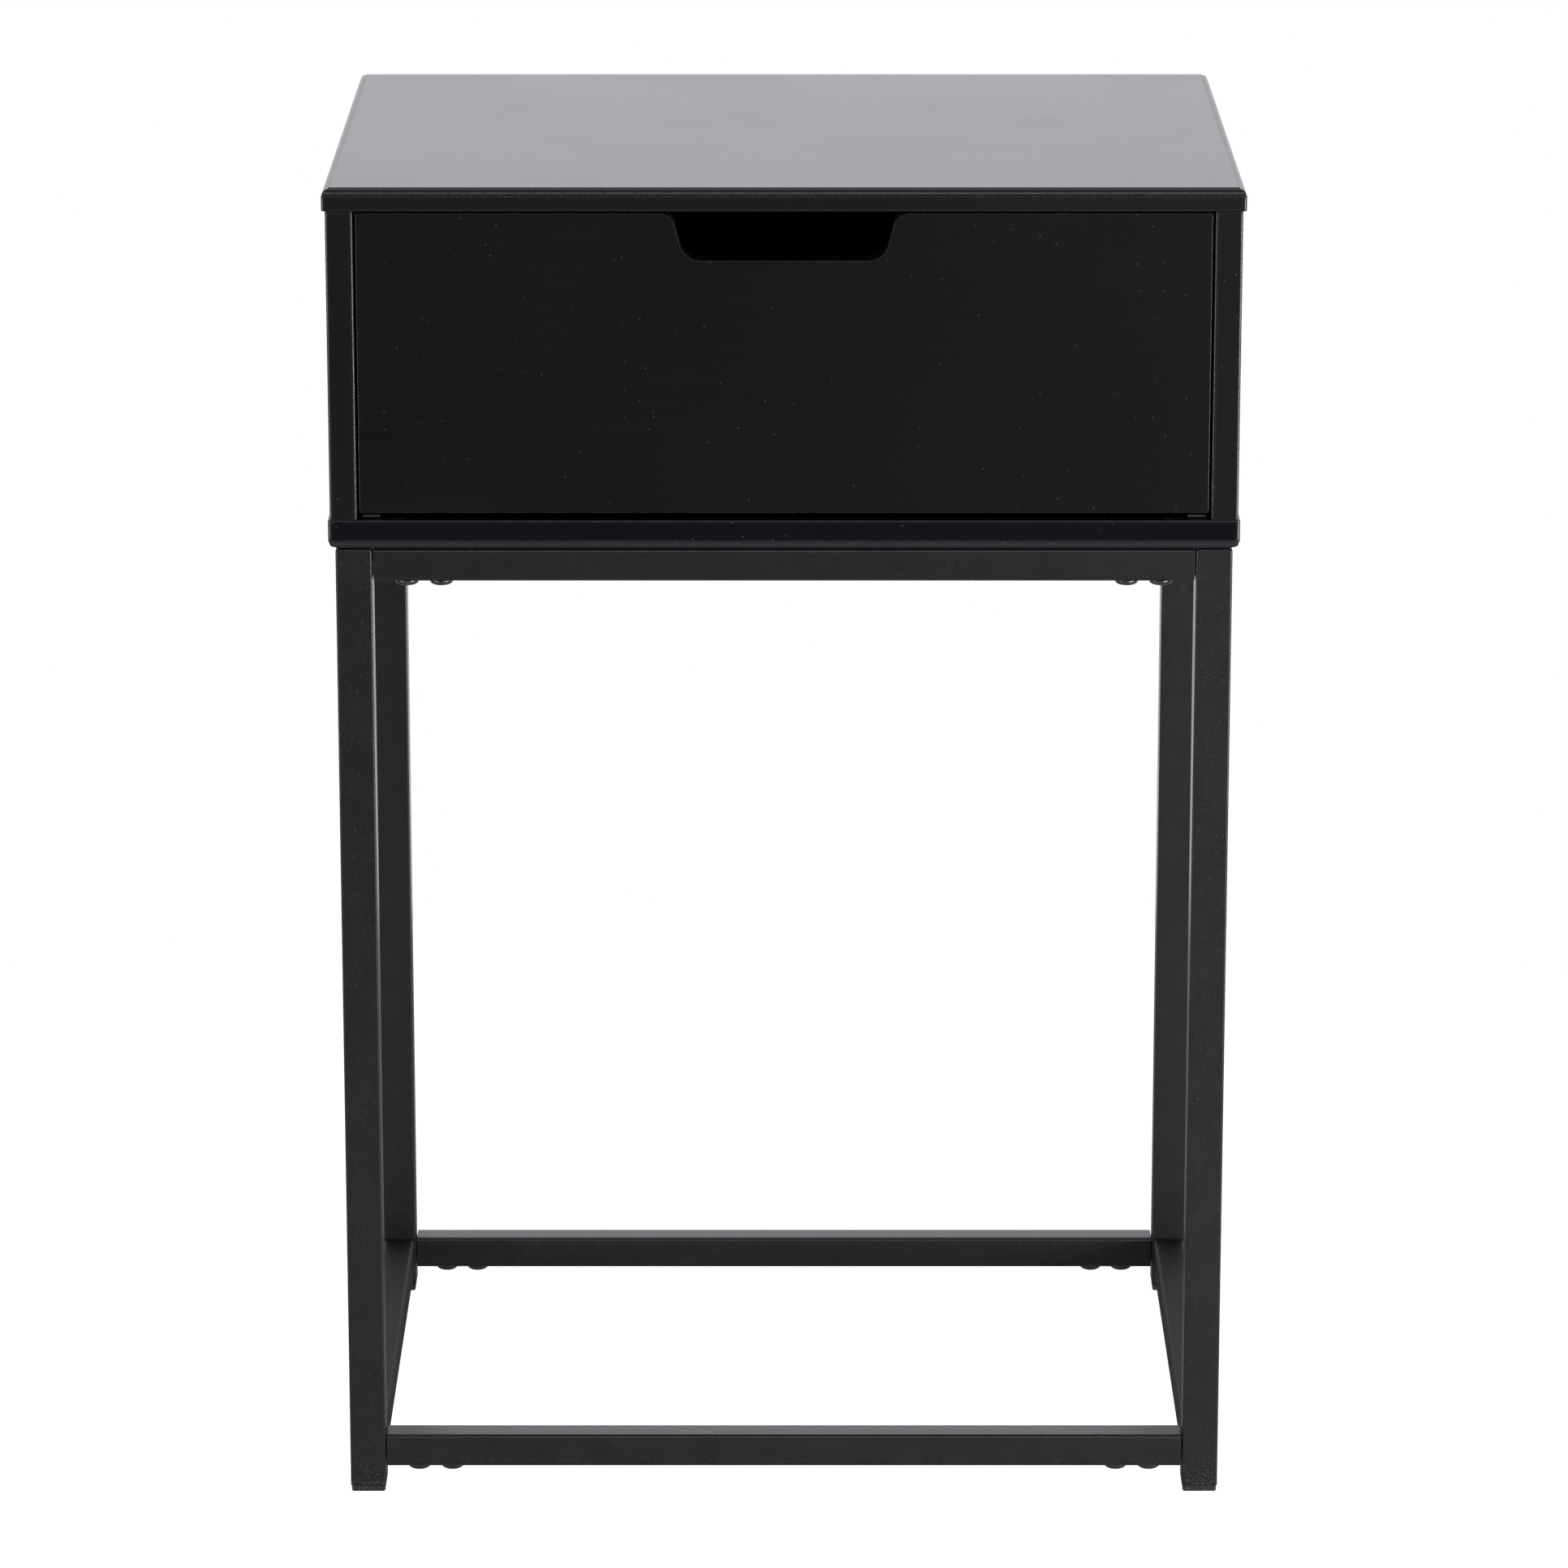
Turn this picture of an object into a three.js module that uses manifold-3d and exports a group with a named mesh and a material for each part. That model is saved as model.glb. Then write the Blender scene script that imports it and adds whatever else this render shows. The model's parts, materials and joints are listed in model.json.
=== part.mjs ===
// A side table with one drawer: a painted case of boards that stands on a frame of square steel tube.
// Millimetres, +Z up. The origin is on the floor under the middle of the table, and the front faces -Y.
// Left and right are as seen from the front: left is -X.
import * as THREE from "three";
import { mergeVertices } from "three/addons/utils/BufferGeometryUtils.js";
import Module from "manifold-3d";

const wasm = await Module();
wasm.setup();

// Overall size.
const WIDTH = 400;
const DEPTH = 300;
const HEIGHT = 600;
const GAP = 0.3; // between pieces that touch or turn in each other

// Case.
const TOP_THICKNESS = 10;
const TOP_RADIUS = 3; // upper edge
const TOP_LOWER_RADIUS = 1.6;
const TOP_CORNER_RADIUS = 2.5; // seen from above
const CASE_BASE = 440; // underside of the case
const BOTTOM_THICKNESS = 13;
const BOTTOM_INSET = 0.6; // the bottom panel stands this far in from the top panel all round
const BOTTOM_RADIUS = 3; // lower edge
const BOTTOM_UPPER_RADIUS = 0.8;
const SIDE_THICKNESS = 12;
const SIDE_INSET = 1.5; // of the side panels' outer faces
const SIDE_FRONT_INSET = 0.8;
const SIDE_RADIUS = 1;
const BACK_THICKNESS = 4;
const REBATE_WIDTH = 6; // cut into each side panel for the back panel

// Drawer.
const FRONT_THICKNESS = 12;
const FRONT_INSET = 1.8; // drawer front behind the top panel's edge
const FRONT_SIDE_GAP = 1;
const FRONT_TOP_GAP = 1;
const FRONT_BOTTOM_GAP = 3.1;
const FRONT_BEVEL = 0.6;
const GRIP = { topHalf: 48.8, floorHalf: 43.4, depth: 21, lipRadius: 7, floorRadius: 9.5 };
const BOX_WALL = 10;
const BOX_LENGTH = 262; // behind the drawer front
const BOX_HEIGHT = 96;
const BOX_LIFT = 3.6; // drawer sides above the case's bottom panel
const DRAWER_BOTTOM_THICKNESS = 4;
const DRAWER_BOTTOM_LIFT = 8; // above the lower edge of the drawer sides
const GROOVE_DEPTH = 5;

// Roller runners, one pair on each side of the drawer.
const RUNNER_SPACE = 12.5; // between side panel and drawer side
const RUNNER_LENGTH = 250;
const SHEET = 1.2;
const CASE_RUNNER_HEIGHT = 21;
const CASE_FLANGE = 9.6;
const RUNNER_SETBACK = 1; // behind the drawer front
const FRONT_TAB = 9.5; // how far the case runner's lower flange reaches under the drawer front
const DRAWER_FLANGE = 10.1;
const HOOK_WIDTH = 9; // flange under the drawer side
const ROLLER_RADIUS = 8;
const ROLLER_WIDTH = 7.2;
const PIN_RADIUS = 2;
const PIN_HEAD_RADIUS = 3.5;
const PIN_HEAD = 0.7;
const CASE_ROLLER_SETBACK = 9.5; // roller axis behind the front end of the case runner
const DRAWER_ROLLER_SETBACK = 14; // roller axis ahead of the rear end of the drawer runner

// Frame.
const FRAME_HALF_WIDTH = 196.5;
const FRAME_HALF_DEPTH = 146;
const LEG = 16;
const RAIL = 15;
const TUBE_WALL = 1.5;
const LEG_RADIUS = 1.2;
const RAIL_RADIUS = 2;
const LEG_CAP = 1.5; // plate that closes the upper end of a leg
const LEG_TOP_RADIUS = 0.8;
const FRAME_TOP = CASE_BASE - GAP;
const LOW_RAIL_BASE = 12; // underside of the lower rails
const FOOT_HEIGHT = 2.8;
const FOOT_SIZE = 15.2;
const FOOT_RADIUS = 1;
const FOOT_PLUG_HEIGHT = 12;
const FOOT_PLUG_WALL = 2;

// Tongues and screws that join the cross rails to the legs.
const TONGUE = { length: 38, width: 11, thickness: 3 };
const SCREW_FROM_LEG = { outer: 15, inner: 30 };
const SCREW = {
  shank: 3, // radius
  head: 5.25, // radius
  headHeight: 2.5,
  rim: 2.5, // radius of the flat ring around the socket
  edge: 0.5, // height of the head's straight edge
  socketFlats: 4,
  socketDepth: 1.6,
};
const SHORT_SHANK = 9;
const LONG_SHANK = 24;
const SCREW_HOLE = SCREW.shank + GAP;

const ARC_STEPS = 3; // per quarter turn
const ROUND_SIDES = 16; // of screws, pins and their holes
const ROLLER_SIDES = 24;

const paint = (color, roughness) => new THREE.MeshStandardMaterial({ color, roughness, metalness: 0 });
const MATERIALS = {
  lacquer: paint(0x1c1b1e, 0.4),
  grainedLacquer: paint(0x1d1c1f, 0.5),
  drawerBox: paint(0x19191a, 0.7),
  powderCoat: paint(0x29282a, 0.55),
  runner: new THREE.MeshStandardMaterial({ color: 0x8d8f92, roughness: 0.45, metalness: 0.6 }),
  roller: paint(0xd8d8d4, 0.5),
  foot: paint(0x1e1e1f, 0.6),
  screw: new THREE.MeshStandardMaterial({ color: 0x202022, roughness: 0.35, metalness: 0.8 }),
};

const X = new THREE.Vector3(1, 0, 0);
const Y = new THREE.Vector3(0, 1, 0);
const Z = new THREE.Vector3(0, 0, 1);
// Where an outline's first and second direction and its extrusion point, by the axis of extrusion.
const TURNS = {
  x: new THREE.Matrix4().makeBasis(Y, Z, X),
  y: new THREE.Matrix4().makeBasis(X, Z, Y.clone().negate()),
  z: new THREE.Matrix4(),
};

function solidOf(geometry) {
  const bare = geometry.clone();
  bare.deleteAttribute("normal");
  bare.deleteAttribute("uv");
  const merged = mergeVertices(bare, 1e-4);
  const mesh = new wasm.Mesh({
    numProp: 3,
    vertProperties: merged.attributes.position.array,
    triVerts: new Uint32Array(merged.index.array),
  });
  return new wasm.Manifold(mesh);
}

function geometryOf(solid) {
  const { vertProperties, triVerts } = solid.getMesh();
  const geometry = new THREE.BufferGeometry();
  geometry.setAttribute("position", new THREE.BufferAttribute(vertProperties, 3));
  geometry.setIndex(new THREE.BufferAttribute(triVerts, 1));
  return geometry;
}

// A function that adds, subtracts or intersects a first geometry with all the others.
function boolean(operation) {
  return (first, ...others) => {
    const made = others.reduce((solid, other) => solid[operation](solidOf(other)), solidOf(first));
    return geometryOf(made);
  };
}
const join = boolean("add");
const cut = boolean("subtract");
const common = boolean("intersect");

// The points that replace a corner when an arc of the given radius rounds it.
function roundedCorner(before, corner, after, radius) {
  const towards = (other) => other.clone().sub(corner).normalize();
  const back = towards(before);
  const ahead = towards(after);
  const half = back.angleTo(ahead) / 2;
  const start = back.clone().multiplyScalar(radius / Math.tan(half)).add(corner);
  const middle = back.clone().add(ahead).normalize().multiplyScalar(radius / Math.sin(half)).add(corner);
  const turn = (Math.PI - 2 * half) * Math.sign(ahead.cross(back));
  const steps = Math.max(2, Math.round((Math.abs(turn) / (Math.PI / 2)) * ARC_STEPS));
  return Array.from({ length: steps + 1 }, (_, i) =>
    start.clone().rotateAround(middle, (turn * i) / steps),
  );
}

// A closed outline through corners [x, y, radius], counter-clockwise; a radius of 0 stays sharp.
function outline(corners) {
  const points = corners.map(([x, y]) => new THREE.Vector2(x, y));
  const all = corners.flatMap(([, , radius], i) =>
    radius
      ? roundedCorner(points.at(i - 1), points[i], points[(i + 1) % points.length], radius)
      : [points[i]],
  );
  return new THREE.Shape(all);
}

// A rectangle about the origin whose lower and upper corners have their own radius.
function rectangle(width, height, lower = 0, upper = lower) {
  const [x, y] = [width / 2, height / 2];
  return outline([[-x, -y, lower], [x, -y, lower], [x, y, upper], [-x, y, upper]]);
}

// An outline drawn out along an axis, half to each side of the origin; a bevel stays inside the outline.
function prism(shape, length, axis, bevel = 0) {
  const geometry = new THREE.ExtrudeGeometry(shape, {
    depth: length - 2 * bevel,
    steps: 1,
    bevelEnabled: bevel > 0,
    bevelSize: bevel,
    bevelThickness: bevel,
    bevelOffset: -bevel,
    bevelSegments: 2,
  });
  return geometry.translate(0, 0, bevel - length / 2).applyMatrix4(TURNS[axis]);
}

// A plain box between two opposite corners.
function box(low, high) {
  const size = high.map((value, i) => value - low[i]);
  const middle = high.map((value, i) => (value + low[i]) / 2);
  return new THREE.BoxGeometry(...size).translate(...middle);
}

// A board about the origin: its corners are rounded in plan, and its lower and upper edges all round.
function board([width, depth, height], { plan = 0, lower = 0, upper = 0 }) {
  return common(
    prism(rectangle(width, depth, plan), height, "z"),
    prism(rectangle(width, height, lower, upper), depth, "y"),
    prism(rectangle(depth, height, lower, upper), width, "x"),
  );
}

// A square rail tube along an axis, open at both ends.
function tube(size, length, axis) {
  const section = rectangle(size, size, RAIL_RADIUS);
  const bore = size - 2 * TUBE_WALL;
  section.holes.push(new THREE.Path(rectangle(bore, bore).getPoints().reverse()));
  return prism(section, length, axis);
}

// A round bar along X between two places, on the axis through [y, z].
function bar(radius, from, to, [y, z], sides = ROUND_SIDES) {
  const cylinder = new THREE.CylinderGeometry(radius, radius, to - from, sides);
  return cylinder.rotateZ(Math.PI / 2).translate((from + to) / 2, y, z);
}

// A round bar along Z between two heights, on the axis through [x, y].
function post(radius, from, to, [x, y]) {
  const cylinder = new THREE.CylinderGeometry(radius, radius, to - from, ROUND_SIDES);
  return cylinder.rotateX(Math.PI / 2).translate(x, y, (from + to) / 2);
}

const table = new THREE.Group();

function add(name, geometry, material, [x, y, z] = [0, 0, 0]) {
  const mesh = new THREE.Mesh(geometry, MATERIALS[material]);
  mesh.name = name;
  mesh.position.set(x, y, z);
  table.add(mesh);
  return mesh;
}

// A piece of the right-hand side and its mirror image on the left.
function addPair(name, geometry, material) {
  add(`${name}_right`, geometry, material);
  add(`${name}_left`, geometry, material).scale.x = -1;
}

const SIDES = { left: -1, right: 1 };
const ENDS = { front: -1, rear: 1 };
const LEVELS = { top: FRAME_TOP - RAIL, bottom: LOW_RAIL_BASE }; // undersides of the rails

// Faces that several pieces share.
const topUnderside = HEIGHT - TOP_THICKNESS;
const caseFloor = CASE_BASE + BOTTOM_THICKNESS;
const sideOuter = WIDTH / 2 - SIDE_INSET;
const sideInner = sideOuter - SIDE_THICKNESS;
const sideEdge = DEPTH / 2 - SIDE_FRONT_INSET;
const frontFace = -DEPTH / 2 + FRONT_INSET;
const frontBack = frontFace + FRONT_THICKNESS;
const boxBase = caseFloor + BOX_LIFT;
const boxOuter = sideInner - RUNNER_SPACE;
const boxInner = boxOuter - BOX_WALL;
const boxFront = frontBack + GAP;
const boxRear = boxFront + BOX_LENGTH;
const drawerBottomBase = boxBase + DRAWER_BOTTOM_LIFT;
const drawerBottomTop = drawerBottomBase + DRAWER_BOTTOM_THICKNESS;
const legInner = FRAME_HALF_WIDTH - LEG;
const railY = FRAME_HALF_DEPTH - LEG / 2;
const screwX = { outer: legInner - SCREW_FROM_LEG.outer, inner: legInner - SCREW_FROM_LEG.inner };
const longScrewTip = LEVELS.top - GAP + LONG_SHANK;

// The case: its side panels stand between the top and the bottom panel, with the back let into them.
function addCase() {
  const topEdges = { plan: TOP_CORNER_RADIUS, lower: TOP_LOWER_RADIUS, upper: TOP_RADIUS };
  const top = board([WIDTH, DEPTH, TOP_THICKNESS], topEdges);
  add("top_panel", top, "lacquer", [0, 0, HEIGHT - TOP_THICKNESS / 2]);

  const bottomEdges = { plan: TOP_CORNER_RADIUS, lower: BOTTOM_RADIUS, upper: BOTTOM_UPPER_RADIUS };
  const bottomSize = [WIDTH - 2 * BOTTOM_INSET, DEPTH - 2 * BOTTOM_INSET, BOTTOM_THICKNESS];
  const bottom = board(bottomSize, bottomEdges).translate(0, 0, CASE_BASE + BOTTOM_THICKNESS / 2);
  const pilots = Object.values(SIDES).flatMap((side) =>
    Object.values(ENDS).map((end) =>
      post(SCREW_HOLE, CASE_BASE - 1, longScrewTip + GAP, [side * screwX.inner, end * railY]),
    ),
  );
  add("bottom_panel", cut(bottom, ...pilots), "lacquer");

  const low = caseFloor + GAP;
  const high = topUnderside - GAP;
  const middle = (low + high) / 2;
  const side = prism(rectangle(SIDE_THICKNESS, 2 * sideEdge, SIDE_RADIUS), high - low, "z");
  side.translate(sideOuter - SIDE_THICKNESS / 2, 0, middle);
  const rebate = box(
    [sideInner - 1, sideEdge - BACK_THICKNESS - GAP, low - 1],
    [sideInner + REBATE_WIDTH, sideEdge + 1, high + 1],
  );
  addPair("side_panel", cut(side, rebate), "lacquer");

  const backWidth = 2 * (sideInner + REBATE_WIDTH - GAP);
  const back = new THREE.BoxGeometry(backWidth, BACK_THICKNESS, high - low);
  add("back_panel", back, "lacquer", [0, sideEdge - BACK_THICKNESS / 2, middle]);
}

// The drawer front's outline, with the finger grip let into its upper edge.
function frontOutline(halfWidth, low, high) {
  const rightHalf = [
    [halfWidth, low, 0],
    [halfWidth, high, 0],
    [GRIP.topHalf, high, GRIP.lipRadius],
    [GRIP.floorHalf, high - GRIP.depth, GRIP.floorRadius],
  ];
  const leftHalf = rightHalf.map(([x, z, radius]) => [-x, z, radius]).reverse();
  return outline([...rightHalf, ...leftHalf]);
}

// The drawer: a front and a plain box whose bottom slides into grooves in the front and the sides.
function addDrawer() {
  const groove = box(
    [-boxInner - GROOVE_DEPTH, frontBack - GROOVE_DEPTH, drawerBottomBase - GAP],
    [boxInner + GROOVE_DEPTH, boxRear + 1, drawerBottomTop + GAP],
  );
  const shape = frontOutline(
    sideInner - FRONT_SIDE_GAP,
    caseFloor + FRONT_BOTTOM_GAP,
    topUnderside - FRONT_TOP_GAP,
  );
  const slab = prism(shape, FRONT_THICKNESS, "y", FRONT_BEVEL);
  slab.translate(0, frontFace + FRONT_THICKNESS / 2, 0);
  add("drawer_front", cut(slab, groove), "grainedLacquer");

  const wallTop = boxBase + BOX_HEIGHT;
  const side = box([boxInner, boxFront, boxBase], [boxOuter, boxRear, wallTop]);
  addPair("drawer_side", cut(side, groove), "drawerBox");

  const backLow = [-boxInner + GAP, boxRear - BOX_WALL, drawerBottomTop + GAP];
  add("drawer_back", box(backLow, [boxInner - GAP, boxRear, wallTop]), "drawerBox");

  const reach = boxInner + GROOVE_DEPTH - GAP;
  const bottomLow = [-reach, frontBack - GROOVE_DEPTH + GAP, drawerBottomBase];
  add("drawer_bottom", box(bottomLow, [reach, boxRear, drawerBottomTop]), "drawerBox");
}

// A runner's flanges and web are boxes [x, z, x, z] over its length; its roller turns on a headed pin.
function runner(strips, front, rear, pinFrom, pinTo, axis) {
  const direction = Math.sign(pinTo - pinFrom);
  const span = (a, b) => [Math.min(a, b), Math.max(a, b)];
  const flanges = strips.map(([x0, z0, x1, z1]) => box([x0, front, z0], [x1, rear, z1]));
  const shaft = bar(PIN_RADIUS, ...span(pinFrom, pinTo), axis);
  const headFrom = pinTo - direction * PIN_HEAD;
  return join(...flanges, shaft, bar(PIN_HEAD_RADIUS, ...span(headFrom, pinTo), axis));
}

// A roller about an axis along X, between two places.
function roller(from, to, axis) {
  const wheel = bar(ROLLER_RADIUS, from, to, axis, ROLLER_SIDES);
  return cut(wheel, bar(PIN_RADIUS + GAP, from - 1, to + 1, axis));
}

// The right-hand runners: a channel on the side panel and a stepped strip on the drawer side. The
// drawer's flange runs over the case roller, and the drawer roller runs along the channel's floor.
function addRunners() {
  const front = frontBack + RUNNER_SETBACK;
  const rear = front + RUNNER_LENGTH;

  const outside = sideInner - GAP;
  const channelWeb = outside - SHEET;
  const channelLip = outside - CASE_FLANGE;
  const floor = caseFloor + GAP;
  const roof = floor + CASE_RUNNER_HEIGHT;
  const channel = [
    [channelWeb, floor, outside, roof],
    [channelLip, floor, outside, floor + SHEET],
    [channelLip, roof - SHEET, outside, roof],
  ];

  const stripWeb = boxOuter + GAP;
  const stripFace = stripWeb + SHEET;
  const flangeTop = roof - SHEET - 2 * GAP;
  const flangeBase = flangeTop - SHEET;
  const hookTop = boxBase - GAP;
  const strip = [
    [stripWeb, hookTop - SHEET, stripFace, flangeTop],
    [stripWeb, flangeBase, stripWeb + DRAWER_FLANGE, flangeTop],
    [stripFace - HOOK_WIDTH, hookTop - SHEET, stripFace, hookTop],
  ];

  const caseAxis = [front + CASE_ROLLER_SETBACK, flangeBase - GAP - ROLLER_RADIUS];
  const drawerAxis = [rear - DRAWER_ROLLER_SETBACK, floor + SHEET + GAP + ROLLER_RADIUS];
  const pinLength = GAP + ROLLER_WIDTH + GAP + PIN_HEAD;

  const channelBody = runner(channel, front, rear, outside, channelWeb - pinLength, caseAxis);
  const tab = box([channelLip, front - FRONT_TAB, floor], [channelWeb, front, floor + SHEET]);
  addPair("case_runner", join(channelBody, tab), "runner");
  const pinEnd = stripFace + pinLength;
  addPair("drawer_runner", runner(strip, front, rear, stripWeb, pinEnd, drawerAxis), "runner");

  const caseRollerAt = channelWeb - GAP;
  addPair("case_roller", roller(caseRollerAt - ROLLER_WIDTH, caseRollerAt, caseAxis), "roller");
  const drawerRollerAt = stripFace + GAP;
  addPair("drawer_roller", roller(drawerRollerAt, drawerRollerAt + ROLLER_WIDTH, drawerAxis), "roller");
}

// Legs with a closed upper end, and the feet that plug into them.
function addLegs() {
  const base = FOOT_HEIGHT + GAP;
  const height = FRAME_TOP - base;
  const half = LEG / 2 - TUBE_WALL;
  const column = board([LEG, LEG, height], { plan: LEG_RADIUS, upper: LEG_TOP_RADIUS });
  const bore = box([-half, -half, -height], [half, half, height / 2 - LEG_CAP]);
  const leg = cut(column, bore);

  const footEdges = { plan: FOOT_RADIUS, lower: FOOT_RADIUS };
  const pad = board([FOOT_SIZE, FOOT_SIZE, FOOT_HEIGHT], footEdges).translate(0, 0, FOOT_HEIGHT / 2);
  const plug = half - GAP;
  const hollow = plug - FOOT_PLUG_WALL;
  const foot = cut(
    join(pad, box([-plug, -plug, FOOT_HEIGHT / 2], [plug, plug, FOOT_HEIGHT + FOOT_PLUG_HEIGHT])),
    box([-hollow, -hollow, FOOT_HEIGHT], [hollow, hollow, FOOT_HEIGHT + FOOT_PLUG_HEIGHT + 1]),
  );

  const legX = FRAME_HALF_WIDTH - LEG / 2;
  for (const [side, x] of Object.entries(SIDES))
    for (const [end, y] of Object.entries(ENDS)) {
      add(`leg_${end}_${side}`, leg, "powderCoat", [x * legX, y * railY, base + height / 2]);
      add(`foot_${end}_${side}`, foot, "foot", [x * legX, y * railY, 0]);
    }
}

// Rails between the legs: the side rails are welded on, and the cross rails are drilled for screws.
function addRails() {
  const sideRail = tube(RAIL, 2 * (FRAME_HALF_DEPTH - LEG - GAP), "y");
  const legX = FRAME_HALF_WIDTH - LEG / 2;
  const reach = legInner - GAP;
  for (const [level, low] of Object.entries(LEVELS)) {
    const middle = low + RAIL / 2;
    for (const [side, x] of Object.entries(SIDES))
      add(`side_rail_${level}_${side}`, sideRail, "powderCoat", [x * legX, 0, middle]);

    const holes = Object.values(SIDES).flatMap((side) =>
      Object.entries(screwX).map(([place, x]) => {
        const through = level === "top" && place === "inner";
        return post(SCREW_HOLE, -RAIL, through ? RAIL : 0, [side * x, 0]);
      }),
    );
    const crossRail = cut(tube(RAIL, 2 * reach, "x"), ...holes);
    for (const [end, y] of Object.entries(ENDS))
      add(`cross_rail_${level}_${end}`, crossRail, "powderCoat", [0, y * railY, middle]);
  }
}

// An angle of flat steel, welded upright against the leg, whose tongue lies inside the rail's end.
function tongueBracket() {
  const start = legInner - GAP;
  const upright = RAIL - 2 * TUBE_WALL - 2 * GAP;
  const { length, width, thickness } = TONGUE;
  const side = outline([
    [start - length, 0, 0],
    [start, 0, 0],
    [start, upright, 0],
    [start - thickness, upright, 0],
    [start - thickness, thickness, 0],
    [start - length, thickness, 0],
  ]);
  const holes = Object.values(screwX).map((x) => post(SCREW_HOLE, -1, thickness + 1, [x, 0]));
  return cut(prism(side, width, "y"), ...holes);
}

// A button-head screw that points up, with a hexagon socket; its head's bearing face is at height 0.
function screw(shankLength) {
  const { shank, head, headHeight, rim, edge, socketFlats, socketDepth } = SCREW;
  const dome = new THREE.EllipseCurve(rim, -edge, head - rim, headHeight - edge, -Math.PI / 2, 0);
  const profile = [
    new THREE.Vector2(0, -headHeight),
    ...dome.getPoints(ARC_STEPS),
    new THREE.Vector2(head, 0),
    new THREE.Vector2(shank, 0),
    new THREE.Vector2(shank, shankLength),
    new THREE.Vector2(0, shankLength),
  ];
  const body = new THREE.LatheGeometry(profile, ROUND_SIDES).rotateX(Math.PI / 2);
  const hexRadius = socketFlats / Math.sqrt(3);
  const socket = new THREE.CylinderGeometry(hexRadius, hexRadius, 2 * socketDepth, 6);
  return cut(body, socket.rotateX(Math.PI / 2).translate(0, 0, -headHeight));
}

function addJoinery() {
  const bracket = tongueBracket();
  const short = screw(SHORT_SHANK);
  const long = screw(LONG_SHANK);
  for (const [level, low] of Object.entries(LEVELS))
    for (const [end, y] of Object.entries(ENDS))
      for (const [side, sign] of Object.entries(SIDES)) {
        const place = `${level}_${end}_${side}`;
        const tongue = add(`tongue_${place}`, bracket, "powderCoat", [0, y * railY, low + TUBE_WALL + GAP]);
        tongue.scale.x = sign;
        for (const [which, x] of Object.entries(screwX)) {
          const shape = level === "top" && which === "inner" ? long : short;
          add(`screw_${place}_${which}`, shape, "screw", [sign * x, y * railY, low - GAP]);
        }
      }
}

addCase();
addDrawer();
addRunners();
addLegs();
addRails();
addJoinery();

export default table;
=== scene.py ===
"""A side table with one drawer: its looks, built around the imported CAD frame.

Metres, +Z up; the front faces -Y. Each piece takes its place from the CAD node that it stands for.
"""

import json
import math
import random
from itertools import product

import bmesh
import bpy
from mathutils import Matrix, Vector


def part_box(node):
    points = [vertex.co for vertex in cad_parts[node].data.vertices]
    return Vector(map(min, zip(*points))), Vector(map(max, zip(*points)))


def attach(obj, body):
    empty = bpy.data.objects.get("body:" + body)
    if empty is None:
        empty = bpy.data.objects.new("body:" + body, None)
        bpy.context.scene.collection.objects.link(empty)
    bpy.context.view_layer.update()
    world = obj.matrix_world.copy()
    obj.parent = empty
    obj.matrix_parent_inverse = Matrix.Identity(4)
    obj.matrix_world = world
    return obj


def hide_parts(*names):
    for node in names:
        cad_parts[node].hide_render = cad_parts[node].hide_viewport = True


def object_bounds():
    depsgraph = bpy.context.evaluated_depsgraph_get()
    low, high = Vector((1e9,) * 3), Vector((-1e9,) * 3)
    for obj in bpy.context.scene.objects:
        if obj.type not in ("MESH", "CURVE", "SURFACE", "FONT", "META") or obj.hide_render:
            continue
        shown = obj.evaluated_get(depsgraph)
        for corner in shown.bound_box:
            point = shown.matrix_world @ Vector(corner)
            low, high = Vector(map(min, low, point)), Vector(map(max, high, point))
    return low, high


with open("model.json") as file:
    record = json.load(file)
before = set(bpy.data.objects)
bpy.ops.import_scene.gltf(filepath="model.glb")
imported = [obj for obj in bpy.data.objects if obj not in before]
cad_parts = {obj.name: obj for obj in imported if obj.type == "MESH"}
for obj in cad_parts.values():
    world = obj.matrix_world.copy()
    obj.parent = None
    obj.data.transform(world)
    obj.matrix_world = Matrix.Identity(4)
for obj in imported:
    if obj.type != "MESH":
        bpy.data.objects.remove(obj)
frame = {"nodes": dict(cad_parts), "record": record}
cad_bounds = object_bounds()

MM = 0.001
BODY_OF = {
    node: body
    for body, nodes in frame["record"]["behaviour"]["bodies"].items()
    for node in nodes
}
SIDES = {"left": -1, "right": 1}
ENDS = {"front": -1, "rear": 1}
LEVELS = ("top", "bottom")
SCREW_PLACES = ("outer", "inner")  # the two screws at each end of a cross rail

# Edges.
SHARP = math.radians(38)  # an edge that turns more than this stays crisp
FLAT = math.radians(3)  # an edge that turns less than this is part of a flat face
ARC_STEPS = 8  # per quarter turn
ROUND_SIDES = 48  # of a turned piece
SMALL_SIDES = 32  # of a pin, a runner screw and a drilled hole in a rail
SUPPORT = 1.6 * MM  # a flat face has a row of points this far in from its edge
THIN_SUPPORT = 0.3 * MM  # the same on the ends of thin or tightly curved outlines
FLAT_LEAST = 1 * MM  # a narrower flat strip between two rims has no such rows
LEAST_CORNER = 0.2 * MM  # a rounded corner stays at least this round
CUT_EDGE = 0.3 * MM  # radius along the cut edges of a board
FINE_EDGE = 0.1 * MM  # radius along the cut edges of sheet metal, and at the side panels' ends
INNER_CORNER = 0.3 * MM  # corner radius of a groove and of a tube's bore
OVERSHOOT = 5 * MM  # how far a cutter reaches out of the piece that it cuts
MERGE = 1e-4 * MM  # points nearer than this become one
GAP = 0.3 * MM  # between pieces that touch

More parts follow.
